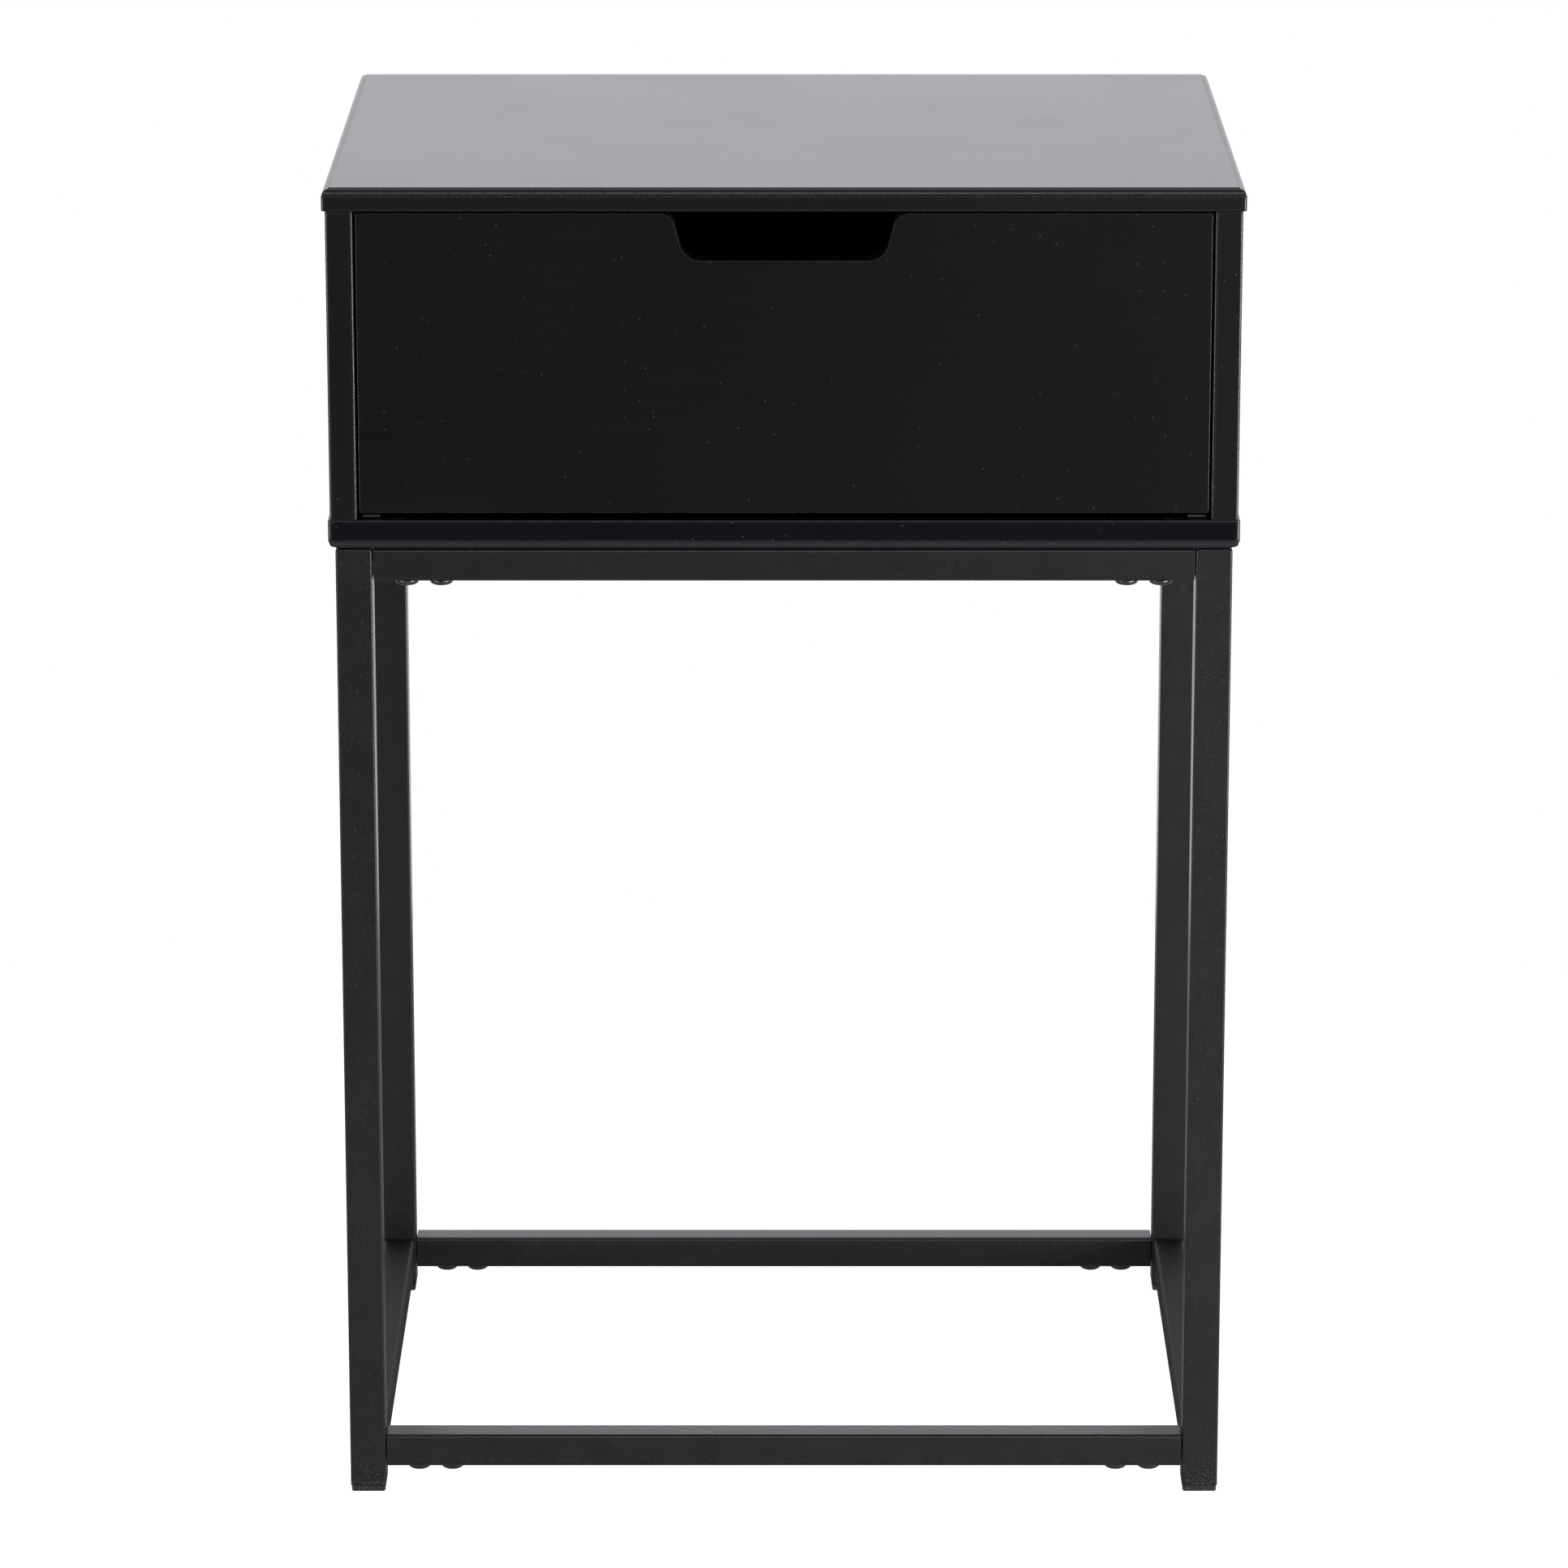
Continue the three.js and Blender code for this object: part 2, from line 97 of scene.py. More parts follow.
# Case.
ROUND_OVER = 2.8 * MM  # radius of the milled edges of the top and the bottom panel
QUIRK = 0.4 * MM  # the small steps that the cutter leaves at both ends of its round
QUIRK_EASE = 0.1 * MM  # how much the edge of the step next to the flat face is broken
QUIRK_DRAFT = 0.04 * MM  # how much the wall of that step leans
ARRIS = 0.35 * MM  # radius of the crisp edge between the other step and the panel's edge face
TOP_LOWER_RADIUS = 0.6 * MM
BOTTOM_UPPER_RADIUS = 0.3 * MM
PLAN_RADIUS = 1.2 * MM
SIDE_RADIUS = 1 * MM
REBATE_WIDTH = 6 * MM
BACK_RADIUS = 0.5 * MM
PILOT_RADIUS = 3.3 * MM

# Drawer.
FRONT_RADIUS = 0.3 * MM
GRIP_TOP_HALF = 48.8 * MM
GRIP_FLOOR_HALF = 43.4 * MM
GRIP_DEPTH = 21 * MM
GRIP_LIP_RADIUS = 7 * MM
GRIP_FLOOR_RADIUS = 9.5 * MM
BOX_RADIUS = 0.7 * MM
BOX_BACK_EDGE = 0.2 * MM
BOX_FLOOR_RADIUS = 0.5 * MM

# Runners.
SHEET = 1.2 * MM
CASE_FLANGE = 9.6 * MM
DRAWER_HOOK = 9 * MM
BEND_RADIUS = 1.7 * MM
FRONT_TAB = 9.5 * MM
TAB_OVERLAP = 0.5 * MM  # how far the front tab runs into the rest of its runner
PIN_RADIUS = 2 * MM
PIN_ROOT = 0.4 * MM  # how far a pin runs into its runner
PIN_HEAD_RADIUS = 3.5 * MM
PIN_HEAD = 0.7 * MM
RUNNER_SCREW_RADIUS = 2.9 * MM
RUNNER_SCREW_ROOT = 0.6 * MM
RECESS_HALF_WIDTH = 0.32 * MM
RECESS_SUPPORT = 0.1 * MM
# The heads' height, how far they are above the roller's axis, and where along the runner.
CASE_SCREWS = {"height": 0.55 * MM, "above_axis": 1 * MM, "shares": (0.17, 0.52, 0.9)}
DRAWER_SCREWS = {"height": 0.7 * MM, "above_axis": 1.5 * MM, "shares": (0.1, 0.45, 0.8)}
ROLLER_HUB = 1.4 * MM  # width of the flat ring round the hole
ROLLER_TREAD = 1.6 * MM  # thickness of the outer ring
ROLLER_SLOPE = 0.3 * MM  # of both rings' walls
ROLLER_DISH = 0.8 * MM
ROLLER_EASE = 0.5 * MM
ROLLER_SIDES = 56

# Frame.
TUBE_WALL = 1.5 * MM
LEG_RADIUS = 0.9 * MM
LEG_FOOT_EDGE = 0.2 * MM
LEG_TOP_RADIUS = 1.2 * MM
LEG_CAP = 1.5 * MM
RAIL_RADIUS = 2 * MM
SIDE_RAIL_EASE = 0.25 * MM
CROSS_RAIL_EASE = 0.12 * MM
SEAM = 0.3 * MM  # how much wider than the gap the frame's shadow lines are
FOOT_RADIUS = 1 * MM
FOOT_HEIGHT = 2.8 * MM
FOOT_LOWER_EDGE = 0.9 * MM
FOOT_UPPER_EDGE = 0.15 * MM
PLUG_INSET = Vector((1.4 * MM, 1.4 * MM))
PLUG_RADIUS = 0.4 * MM
PLUG_TIP = 0.8 * MM
PLUG_OVERLAP = 1 * MM  # how far the plug runs into the foot's plate
WELD_RADIUS = 0.55 * MM
WELD_UNEVEN = (0.88, 1.15)  # the bead's radius varies between these shares
WELD_SPACING = 1 * MM
WELD_SIDES = 10
WELD_DROP = 0.9 * MM  # how far below a rail's top its weld ends
SCREW_HEAD = 2.5 * MM
SCREW_RIM = 0.5 * MM  # height of the head's straight edge
SCREW_EASE = 0.15 * MM
SCREW_SHANK_RADIUS = 3 * MM
SCREW_TIP = 0.8 * MM
DOME_STEPS = 9
SOCKET_FLATS = 4 * MM
SOCKET_DEPTH = 1.5 * MM
SOCKET_CONE = 0.9 * MM
SOCKET_MOUTH = 1 * MM  # how far the socket's cutter reaches out of the head
PILOT_THROUGH = 20 * MM  # depth of a hole that goes on into the case
PILOT_BLIND = 6 * MM  # depth of a hole in a rail's lower wall


# ---------------------------------------------------------------- shapes


def outline(corners, roomy=None):
    """A closed outline through corners (u, v, radius), counter-clockwise, rounded by arcs.
    A roomy side, from each corner to the next, has a point a little in from both its ends."""
    if roomy is None:
        roomy = roomy_sides(corners)
    points = []
    for i, (u, v, radius) in enumerate(corners):
        corner = Vector((u, v))
        back = (Vector(corners[i - 1][:2]) - corner).normalized()
        ahead = (Vector(corners[(i + 1) % len(corners)][:2]) - corner).normalized()
        half = back.angle(ahead) / 2
        reach = radius / math.tan(half)
        if roomy[i - 1]:
            points.append(corner + back * (reach + SUPPORT))
        if radius:
            start = back * reach
            middle = (back + ahead).normalized() * (radius / math.sin(half))
            sense = math.copysign(1, ahead.x * back.y - ahead.y * back.x)
            turn = (math.pi - 2 * half) * sense
            count = max(2, round(abs(turn) / (math.pi / 2) * ARC_STEPS))
            for k in range(count + 1):
                spoke = Matrix.Rotation(turn * k / count, 2) @ (start - middle)
                points.append(corner + middle + spoke)
        else:
            points.append(corner)
        if roomy[i]:
            points.append(corner + ahead * (reach + SUPPORT))
    return points


def roomy_sides(corners):
    """For each side of an outline, whether it has room for points of its own beside its arcs."""
    found = []
    for i, (u, v, radius) in enumerate(corners):
        u1, v1, radius1 = corners[(i + 1) % len(corners)]
        found.append(math.hypot(u1 - u, v1 - v) > 2 * (radius + radius1) + 4 * SUPPORT)
    return found


def inset(points, distance):
    """The outline moved inwards by a distance."""
    moved = []
    for i, point in enumerate(points):
        before = (point - points[i - 1]).normalized()
        after = (points[(i + 1) % len(points)] - point).normalized()
        inward = Vector((-before.y - after.y, before.x + after.x))
        moved.append(point + inward * (2 * distance / inward.length_squared))
    return moved


def shape(corners):
    """A function that gives the outline at any distance inwards."""
    points = outline(corners)
    return lambda distance: inset(points, distance)


def rectangle(low, high, radius=0.0):
    """A function that gives a rounded rectangle at any distance inwards; its corners stay round."""

    def corners(distance):
        rounded = max(radius - distance, LEAST_CORNER) if radius else 0
        u0, v0 = (a + distance for a in low)
        u1, v1 = (a - distance for a in high)
        return [(u0, v0, rounded), (u1, v0, rounded), (u1, v1, rounded), (u0, v1, rounded)]

    roomy = roomy_sides(corners(0))
    return lambda distance: outline(corners(distance), roomy)


def quarter(radius, steps=6):
    """Pairs (inwards, along) round an edge, from the end face to the side."""
    if not radius:
        return [(0, 0)]
    turns = [math.pi / 2 * k / steps for k in range(steps + 1)]
    return [(radius * (1 - math.sin(a)), radius * (1 - math.cos(a))) for a in turns]


def milled():
    """Pairs (inwards, along) round a milled edge: a small step down, the round, and a step out."""
    full = ROUND_OVER + QUIRK
    step = [
        (full, 0),
        (full - 0.7 * QUIRK_EASE, 0.2 * QUIRK_EASE),
        (full - QUIRK_EASE, QUIRK_EASE),
        (full - QUIRK_EASE - QUIRK_DRAFT, QUIRK),
    ]
    arc = [(QUIRK + d, QUIRK + w) for d, w in quarter(ROUND_OVER, 10)[1:]]
    lip = [(d, full + w) for d, w in quarter(ARRIS, 4)]
    return step + arc + lip


def rim(kind):
    """Pairs (inwards, along) round an edge given by its radius, or by the word milled."""
    return milled() if kind == "milled" else quarter(kind)


def stations(low, high, lower, upper):
    """Pairs (inwards, place) along a prism from low to high whose two rims are shaped."""
    start = [(d, low + w) for d, w in rim(lower)]
    end = [(d, high - w) for d, w in reversed(rim(upper))]
    flat = end[0][1] - start[-1][1]
    if flat < FLAT_LEAST:
        return start + end
    reach = min(SUPPORT, flat / 4)
    return [*start, (0, start[-1][1] + reach), (0, end[0][1] - reach), *end]


PLACE = {
    "x": lambda point, w: Vector((w, point.x, point.y)),
    "y": lambda point, w: Vector((point.x, w, point.y)),
    "z": lambda point, w: Vector((point.x, point.y, w)),
}


def skin(bm, rings):
    """Joins rings of points by faces and gives the rings of vertices."""
    loops = [[bm.verts.new(point) for point in ring] for ring in rings]
    for low, high in zip(loops, loops[1:]):
        for i in range(len(low)):
            bm.faces.new((low[i - 1], low[i], high[i], high[i - 1]))
    return loops


def prism(bm, ring, axis, low, high, lower=0.0, upper=0.0, support=SUPPORT):
    """A solid prism of an outline along an axis, its rims shaped and its end faces flat."""
    rows = stations(low, high, lower, upper)
    rows = [(rows[0][0] + support, low), *rows, (rows[-1][0] + support, high)]
    loops = skin(bm, [[PLACE[axis](p, w) for p in ring(d)] for d, w in rows])
    bm.faces.new(loops[0])
    bm.faces.new(loops[-1])


def tube(bm, outer, inner, axis, low, high, ease):
    """A tube along an axis, open at both ends, with eased rims."""
    rows = stations(low, high, ease, ease)
    rings = [[PLACE[axis](p, w) for p in outer(d)] for d, w in rows]
    rings += [[PLACE[axis](p, w) for p in inner(-d)] for d, w in reversed(rows)]
    loops = skin(bm, rings)
    for i in range(len(loops[0])):
        bm.faces.new((loops[-1][i - 1], loops[-1][i], loops[0][i], loops[0][i - 1]))


def turned(profile, at, sides):
    """Rings of points, one for each (radius, height) pair, turned round the Z axis of a frame."""
    turns = [2 * math.pi * k / sides for k in range(sides)]
    return [
        [at @ Vector((radius * math.cos(a), radius * math.sin(a), height)) for a in turns]
        for radius, height in profile
    ]


def lathe(bm, profile, at, sides=ROUND_SIDES):
    """A solid turned round the Z axis of a frame, flat where its profile starts and ends."""
    loops = skin(bm, turned(profile, at, sides))
    bm.faces.new(loops[0])
    bm.faces.new(loops[-1])


def washer(bm, profile, at, sides):
    """A ring turned round the Z axis of a frame from a closed loop of (radius, height) pairs."""
    skin(bm, turned([*profile, profile[0]], at, sides))
    bmesh.ops.remove_doubles(bm, verts=bm.verts, dist=MERGE)


def mesh_object(name, bm):
    """An object in the scene made of a bmesh, with its faces pointing out."""
    bmesh.ops.recalc_face_normals(bm, faces=bm.faces)
    mesh = bpy.data.meshes.new(name)
    bm.to_mesh(mesh)
    bm.free()
    made = bpy.data.objects.new(name, mesh)
    bpy.context.scene.collection.objects.link(made)
    return made


def combine(target, other_bm, operation="DIFFERENCE"):
    """Takes other solids away from the target's mesh, or with UNION joins them to it."""
    other = mesh_object("other", other_bm)
    modifier = target.modifiers.new("combine", "BOOLEAN")
    modifier.operation = operation
    modifier.solver = "EXACT"
    modifier.object = other
    bpy.context.view_layer.update()
    evaluated = target.evaluated_get(bpy.context.evaluated_depsgraph_get())
    made = bpy.data.meshes.new_from_object(evaluated)
    target.modifiers.remove(modifier)
    plain = target.data
    target.data = made
    bpy.data.meshes.remove(plain)
    bpy.data.objects.remove(other)


def mark_edges(mesh):
    """Stores on each point whether it is on a rounded or sharp edge (1) or on a flat face (0)."""
    bm = bmesh.new()
    bm.from_mesh(mesh)
    bm.verts.ensure_lookup_table()
    values = []
    for vert in bm.verts:
        turns = [e.calc_face_angle(0) for e in vert.link_edges]
        values.append(1.0 if max(turns, default=0) > FLAT else 0.0)
    bm.free()
    layer = mesh.attributes.new("edge", "FLOAT", "POINT")
    layer.data.foreach_set("value", values)


def dress(made, material, slot, body, *nodes):
    """Finishes a piece: shading, material, the body it rides on and the CAD nodes it stands for."""
    mesh = made.data
    mesh.materials.clear()
    mesh.materials.append(material)
    mesh.shade_smooth()
    mesh.set_sharp_from_angle(angle=SHARP)
    mark_edges(mesh)
    even = made.modifiers.new("even_normals", "WEIGHTED_NORMAL")
    even.keep_sharp = True
    even.weight = 100  # the large, flat faces decide
    if nodes:
        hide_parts(*nodes)
    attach(made, body)


def stand_in(node, bm, material, slot, joined=(), cut=()):
    """Makes the piece that stands for one CAD node, with solids joined to it or cut from it."""
    made = mesh_object(f"{node}_shaped", bm)
    for other in joined:
        combine(made, other, "UNION")
    for other in cut:
        combine(made, other)
    dress(made, material, slot, BODY_OF[node], node)


def drill(bm, screw, mouth, depth, sides):
    """Adds a cutter for a screw's pilot hole, open at the mouth's height and going up."""
    low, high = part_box(screw)
    centre = (low + high) / 2
    at = Matrix.Translation((centre.x, centre.y, mouth))
    lathe(bm, [(PILOT_RADIUS, -OVERSHOOT), (PILOT_RADIUS, depth)], at, sides)


# ---------------------------------------------------------------- materials


class Surface:
    """A material's node tree, with its noises placed by the object's own coordinates."""

    def __init__(self, name, **sockets):
        self.material = bpy.data.materials.new(name)
        self.material.use_nodes = True
        self.tree = self.material.node_tree
        self.shader = self.tree.nodes["Principled BSDF"]
        for socket, value in sockets.items():
            self.shader.inputs[socket.replace("_", " ")].default_value = value
        self.place = self.add("ShaderNodeTexCoord").outputs["Object"]

    def add(self, kind, inputs=None, **properties):
        """A node of a kind, with its inputs linked to other nodes' outputs or set to values."""
        made = self.tree.nodes.new(kind)
        for key, value in properties.items():
            setattr(made, key, value)
        for key, value in (inputs or {}).items():
            self.feed(made.inputs[key], value)
        return made

    def feed(self, socket, value):
        """Links an output to a socket, or sets the socket to a plain value."""
        if isinstance(value, bpy.types.NodeSocket):
            self.tree.links.new(value, socket)
        else:
            socket.default_value = value

    def scaled(self, scale, shift=0.0):
        """The object's coordinates times a scale along each axis, moved by a shift."""
        inputs = {"Vector": self.place, "Scale": scale, "Location": (shift, shift, shift)}
        return self.add("ShaderNodeMapping", inputs).outputs["Vector"]

    def noise(self, per_metre, detail, roughness=0.5, stretch=(1, 1, 1), shift=0.0):
        """A noise with about this many waves per metre. A stretch below 1 draws it out that way."""
        inputs = {
            "Vector": self.scaled([per_metre * s for s in stretch], shift),
            "Scale": 1.0,
            "Detail": detail,
            "Roughness": roughness,
        }
        return self.add("ShaderNodeTexNoise", inputs).outputs["Fac"]

    def pits(self, per_metre, size):
        """Small round spots, 1 in their middle, about this many cells per metre."""
        inputs = {"Vector": self.scaled([per_metre] * 3), "Scale": 1.0}
        cell = self.add("ShaderNodeTexVoronoi", inputs)
        return self.span(cell.outputs["Distance"], 0, size, 1, 0)

    def span(self, value, low, high, to_low=0.0, to_high=1.0):
        """A value carried from one range to another, and held at its ends."""
        inputs = {
            "Value": value,
            "From Min": low,
            "From Max": high,
            "To Min": to_low,
            "To Max": to_high,
        }
        return self.add("ShaderNodeMapRange", inputs).outputs["Result"]

    def maths(self, operation, a, b):
        """Two values, at least one of them varying over the surface, put together."""
        return self.add("ShaderNodeMath", {0: a, 1: b}, operation=operation).outputs["Value"]

    def height(self):
        """The point's height above the floor."""
        return self.add("ShaderNodeSeparateXYZ", {"Vector": self.place}).outputs["Z"]

    def edge(self):
        """1 on a rounded or sharp edge, falling to 0 on the flat face beside it."""
        return self.add("ShaderNodeAttribute", attribute_name="edge").outputs["Fac"]

    def mix(self, share, first, second):
        """Two colours mixed by a share that varies over the surface."""
        made = self.add("ShaderNodeMix", {"Factor": share}, data_type="RGBA")
        sockets = [socket for socket in made.inputs if socket.type == "RGBA"]
        for socket, colour in zip(sockets, (first, second)):
            self.feed(socket, (*colour, 1) if isinstance(colour, tuple) else colour)
        return next(socket for socket in made.outputs if socket.type == "RGBA")

    def bump(self, height, distance, strength, under=None):
        """A normal disturbed by a height, on top of another disturbed normal if one is given."""
        inputs = {"Height": height, "Distance": distance, "Strength": strength}
        if under is not None:
            inputs["Normal"] = under
        return self.add("ShaderNodeBump", inputs).outputs["Normal"]

    def set(self, socket, value):
        """Links an output to one of the shader's sockets."""
        self.tree.links.new(value, self.shader.inputs[socket])


def painted_board(name, dark, light, edge_tone, roughness, pores_and_glints, grain=0):
    """Satin paint on board: fine peel, stray specks, an edge tone, and edges dotted with light
    pores and painted glints.
    """
    surface = Surface(name, IOR=1.5)
    speck_tone = (0.13, 0.125, 0.13)
    fine = surface.noise(1100, detail=2)
    pore = surface.noise(2400, detail=1, shift=3.1)
    edge = surface.edge()
    on_edge = surface.span(edge, 0.5, 1.0)
    rough_edge = surface.span(edge, 0.5, 1.0, 0, pores_and_glints)

    colour = surface.mix(surface.span(surface.noise(9, detail=3), 0.3, 0.7), dark, light)
    # The edge tone; on the bottom panel it is a painted reflection of the floor on the lower milled
    # edge.
    colour = surface.mix(on_edge, colour, edge_tone)
    # Light dots on the edges: partly the paint's open pores, partly painted glints along the edges.
    edge_spots = surface.maths("MULTIPLY", surface.span(pore, 0.58, 0.68), rough_edge)
    stray = surface.span(surface.noise(45, detail=0, shift=4.4), 0.42, 0.5, 0, 0.6)
    dot = surface.maths("MULTIPLY", surface.pits(160, 0.09), stray)
    colour = surface.mix(surface.maths("MAXIMUM", edge_spots, dot), colour, speck_tone)
    height = fine
    if grain:
        line = surface.noise(grain, detail=3, roughness=0.6, stretch=(0.02, 1, 1), shift=1.3)
        height = surface.maths("ADD", surface.maths("MULTIPLY", line, 1.6), fine)
        colour = surface.mix(surface.span(line, 0.45, 0.75, 0, 0.6), colour, light)
    surface.set("Base Color", colour)

    satin = surface.span(fine, 0.3, 0.7, roughness - 0.02, roughness + 0.03)
    rub = surface.span(surface.noise(16, detail=4, shift=7.7), 0.5, 0.8, 0, 0.02)
    satin = surface.maths("ADD", satin, rub)
    surface.set("Roughness", surface.maths("ADD", satin, surface.span(edge, 0.3, 1.0, 0, 0.05)))

    smooth = surface.bump(height, 0.012 * MM, 0.5)
    open_pore = surface.maths("MULTIPLY", pore, rough_edge)
    surface.set("Normal", surface.bump(open_pore, 0.2 * MM, 0.9, smooth))
    return surface.material


def powder_coat(name, roughness, gloss):
    """Fine-texture powder coat: grainy, with stray pits, light specks and dust near the floor."""
    surface = Surface(name, IOR=1.5, Specular_IOR_Level=gloss)
    dark, light = (0.0128, 0.0122, 0.0122), (0.0172, 0.0165, 0.0165)
    speck_tone = (0.07, 0.07, 0.072)
    dust_tone = (0.13, 0.115, 0.105)
    grit = surface.noise(1300, detail=3, roughness=0.65)

    wave = surface.noise(60, detail=2, shift=2.0)
    colour = surface.mix(surface.span(wave, 0.3, 0.7), dark, light)
    speck = surface.span(surface.noise(1100, detail=1, shift=5.0), 0.66, 0.74, 0, 0.5)
    colour = surface.mix(speck, colour, speck_tone)
    low = surface.span(surface.height(), 0.0, 18 * MM, 0.9, 0.0)
    dust = surface.span(surface.noise(1400, detail=1, shift=8.0), 0.56, 0.68)
    colour = surface.mix(surface.maths("MULTIPLY", dust, low), colour, dust_tone)
    surface.set("Base Color", colour)
    surface.set("Roughness", surface.span(grit, 0.3, 0.7, roughness, roughness + 0.1))

    where = surface.span(surface.noise(7, detail=0, shift=11.0), 0.58, 0.64)
    pit = surface.maths("MULTIPLY", surface.pits(95, 0.3), where)
    grainy = surface.bump(grit, 0.05 * MM, 0.6)
    dent = surface.maths("MULTIPLY", pit, -1.0)
    surface.set("Normal", surface.bump(dent, 0.2 * MM, 0.8, grainy))
    return surface.material


def foil():
    """The drawer box's matt black foil, with a faint pressed grain along the boards."""
    surface = Surface("drawer_foil", IOR=1.45)
    dark, light = (0.008, 0.008, 0.0085), (0.014, 0.014, 0.0145)
    pore = surface.noise(700, detail=3, stretch=(1, 0.05, 1))
    surface.set("Base Color", surface.mix(surface.span(pore, 0.4, 0.7), dark, light))
    surface.set("Roughness", surface.span(pore, 0.3, 0.7, 0.5, 0.62))
    surface.set("Normal", surface.bump(pore, 0.03 * MM, 0.6))
    return surface.material


def runner_steel():
    """Epoxy-coated sheet steel: even grey with an orange-peel surface, rubbed along its edges."""
    surface = Surface("runner_coating", IOR=1.5)
    dark, light = (0.07, 0.07, 0.074), (0.095, 0.095, 0.1)
    rubbed_tone = (0.22, 0.22, 0.225)
    peel = surface.noise(500, detail=2)
    cloud = surface.noise(40, detail=3, shift=4.0)
    colour = surface.mix(surface.span(cloud, 0.3, 0.7), dark, light)
    on_edge = surface.span(surface.edge(), 0.6, 1.0)
    rubbed = surface.maths("MULTIPLY", on_edge, surface.span(cloud, 0.45, 0.6, 0, 0.5))
    surface.set("Base Color", surface.mix(rubbed, colour, rubbed_tone))
    surface.set("Roughness", surface.span(peel, 0.3, 0.7, 0.32, 0.42))
    surface.set("Normal", surface.bump(peel, 0.04 * MM, 0.5))
    return surface.material


def roller_plastic():
    """Off-white nylon, faintly mottled, with patches of grime."""
    surface = Surface("roller_nylon", IOR=1.5, Subsurface_Weight=0.1)
    surface.shader.inputs["Subsurface Radius"].default_value = (1 * MM, 1 * MM, 0.8 * MM)
    dark, light = (0.52, 0.51, 0.47), (0.64, 0.63, 0.6)
    grime_tone = (0.25, 0.245, 0.235)
    mottle = surface.noise(260, detail=3)
    colour = surface.mix(surface.span(mottle, 0.3, 0.7), dark, light)
    grime = surface.span(surface.noise(90, detail=3, shift=6.0), 0.5, 0.75, 0, 0.35)
    surface.set("Base Color", surface.mix(grime, colour, grime_tone))
    surface.set("Roughness", surface.span(mottle, 0.3, 0.7, 0.42, 0.52))
    surface.set("Normal", surface.bump(mottle, 0.03 * MM, 0.4))
    return surface.material


def foot_plastic():
    """Black moulded plastic, dusty at its lower rim."""
    surface = Surface("foot_plastic", IOR=1.46)
    black, dust_tone = (0.022, 0.019, 0.018), (0.15, 0.12, 0.1)
    grain = surface.noise(900, detail=3)
    dust = surface.span(surface.noise(900, detail=2, shift=8.0), 0.45, 0.68)
    low = surface.span(surface.height(), 0.0, FOOT_HEIGHT, 0.9, 0.5)
    surface.set("Base Color", surface.mix(surface.maths("MULTIPLY", dust, low), black, dust_tone))
    surface.set("Roughness", surface.span(grain, 0.3, 0.7, 0.45, 0.6))
    surface.set("Normal", surface.bump(grain, 0.05 * MM, 0.5))
    return surface.material


def screw_steel():
    """Blackened steel, oiled, with small bare spots on its edges."""
    surface = Surface("screw_black_oxide", IOR=2.0)
    black, bare = (0.014, 0.014, 0.0145), (0.16, 0.155, 0.15)
    grain = surface.noise(1800, detail=3)
    spots = surface.span(surface.noise(700, detail=2, shift=9.0), 0.52, 0.66, 0, 0.6)
    edge_spots = surface.maths("MULTIPLY", spots, surface.span(surface.edge(), 0.5, 1.0, 0.1, 1.0))
    surface.set("Base Color", surface.mix(edge_spots, black, bare))
    surface.set("Metallic", surface.span(edge_spots, 0.0, 1.0, 0.1, 0.9))
    surface.set("Roughness", surface.span(grain, 0.3, 0.7, 0.26, 0.38))
    surface.set("Normal", surface.bump(grain, 0.02 * MM, 0.4))
    return surface.material


LACQUER = painted_board(
    "black_lacquer",
    dark=(0.0085, 0.0081, 0.009),
    light=(0.0118, 0.011, 0.0124),
    edge_tone=(0.0115, 0.0105, 0.012),
    roughness=0.22,
    pores_and_glints=0.3,
)
LOW_LACQUER = painted_board(
    "black_lacquer_low",
    dark=(0.0028, 0.0028, 0.005),
    light=(0.0042, 0.0041, 0.0068),
    # The light edge tone is a painted reflection: it lightens the lower milled edge in place of the
    # pale floor's light reflected on it.
    edge_tone=(0.023, 0.023, 0.0305),
    roughness=0.2,
    pores_and_glints=0.1,
)
GRAINED = painted_board(
    "grained_black_lacquer",
    dark=(0.0034, 0.0031, 0.0039),
    light=(0.0064, 0.0058, 0.0069),
    edge_tone=(0.0075, 0.0068, 0.0078),
    roughness=0.27,
    pores_and_glints=0.2,
    grain=520,
)
POWDER = powder_coat("powder_coat", roughness=0.3, gloss=0.5)
DULL_POWDER = powder_coat("powder_coat_dull", roughness=0.55, gloss=0.2)
FOIL = foil()
RUNNER = runner_steel()
NYLON = roller_plastic()
FOOT = foot_plastic()
SCREW = screw_steel()


# ---------------------------------------------------------------- case


def build_top_panel():
    """The top panel, its upper edge milled."""
    low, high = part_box("top_panel")
    bm = bmesh.new()
    ring = rectangle(low.xy, high.xy, PLAN_RADIUS)
    prism(bm, ring, "z", low.z, high.z, TOP_LOWER_RADIUS, "milled")
    stand_in("top_panel", bm, LACQUER, "lacquer")


def build_bottom_panel():
    """The bottom panel, its lower edge milled, with pilot holes for the screws that hold it."""
    low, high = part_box("bottom_panel")
    bm = bmesh.new()
    ring = rectangle(low.xy, high.xy, PLAN_RADIUS)
    prism(bm, ring, "z", low.z, high.z, "milled", BOTTOM_UPPER_RADIUS)
    pilots = bmesh.new()
    for side, end in product(SIDES, ENDS):
        screw = f"screw_top_{end}_{side}_inner"
        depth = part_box(screw)[1].z - low.z + GAP
        drill(pilots, screw, low.z, depth, ROUND_SIDES)
    stand_in("bottom_panel", bm, LOW_LACQUER, "lacquer", cut=[pilots])


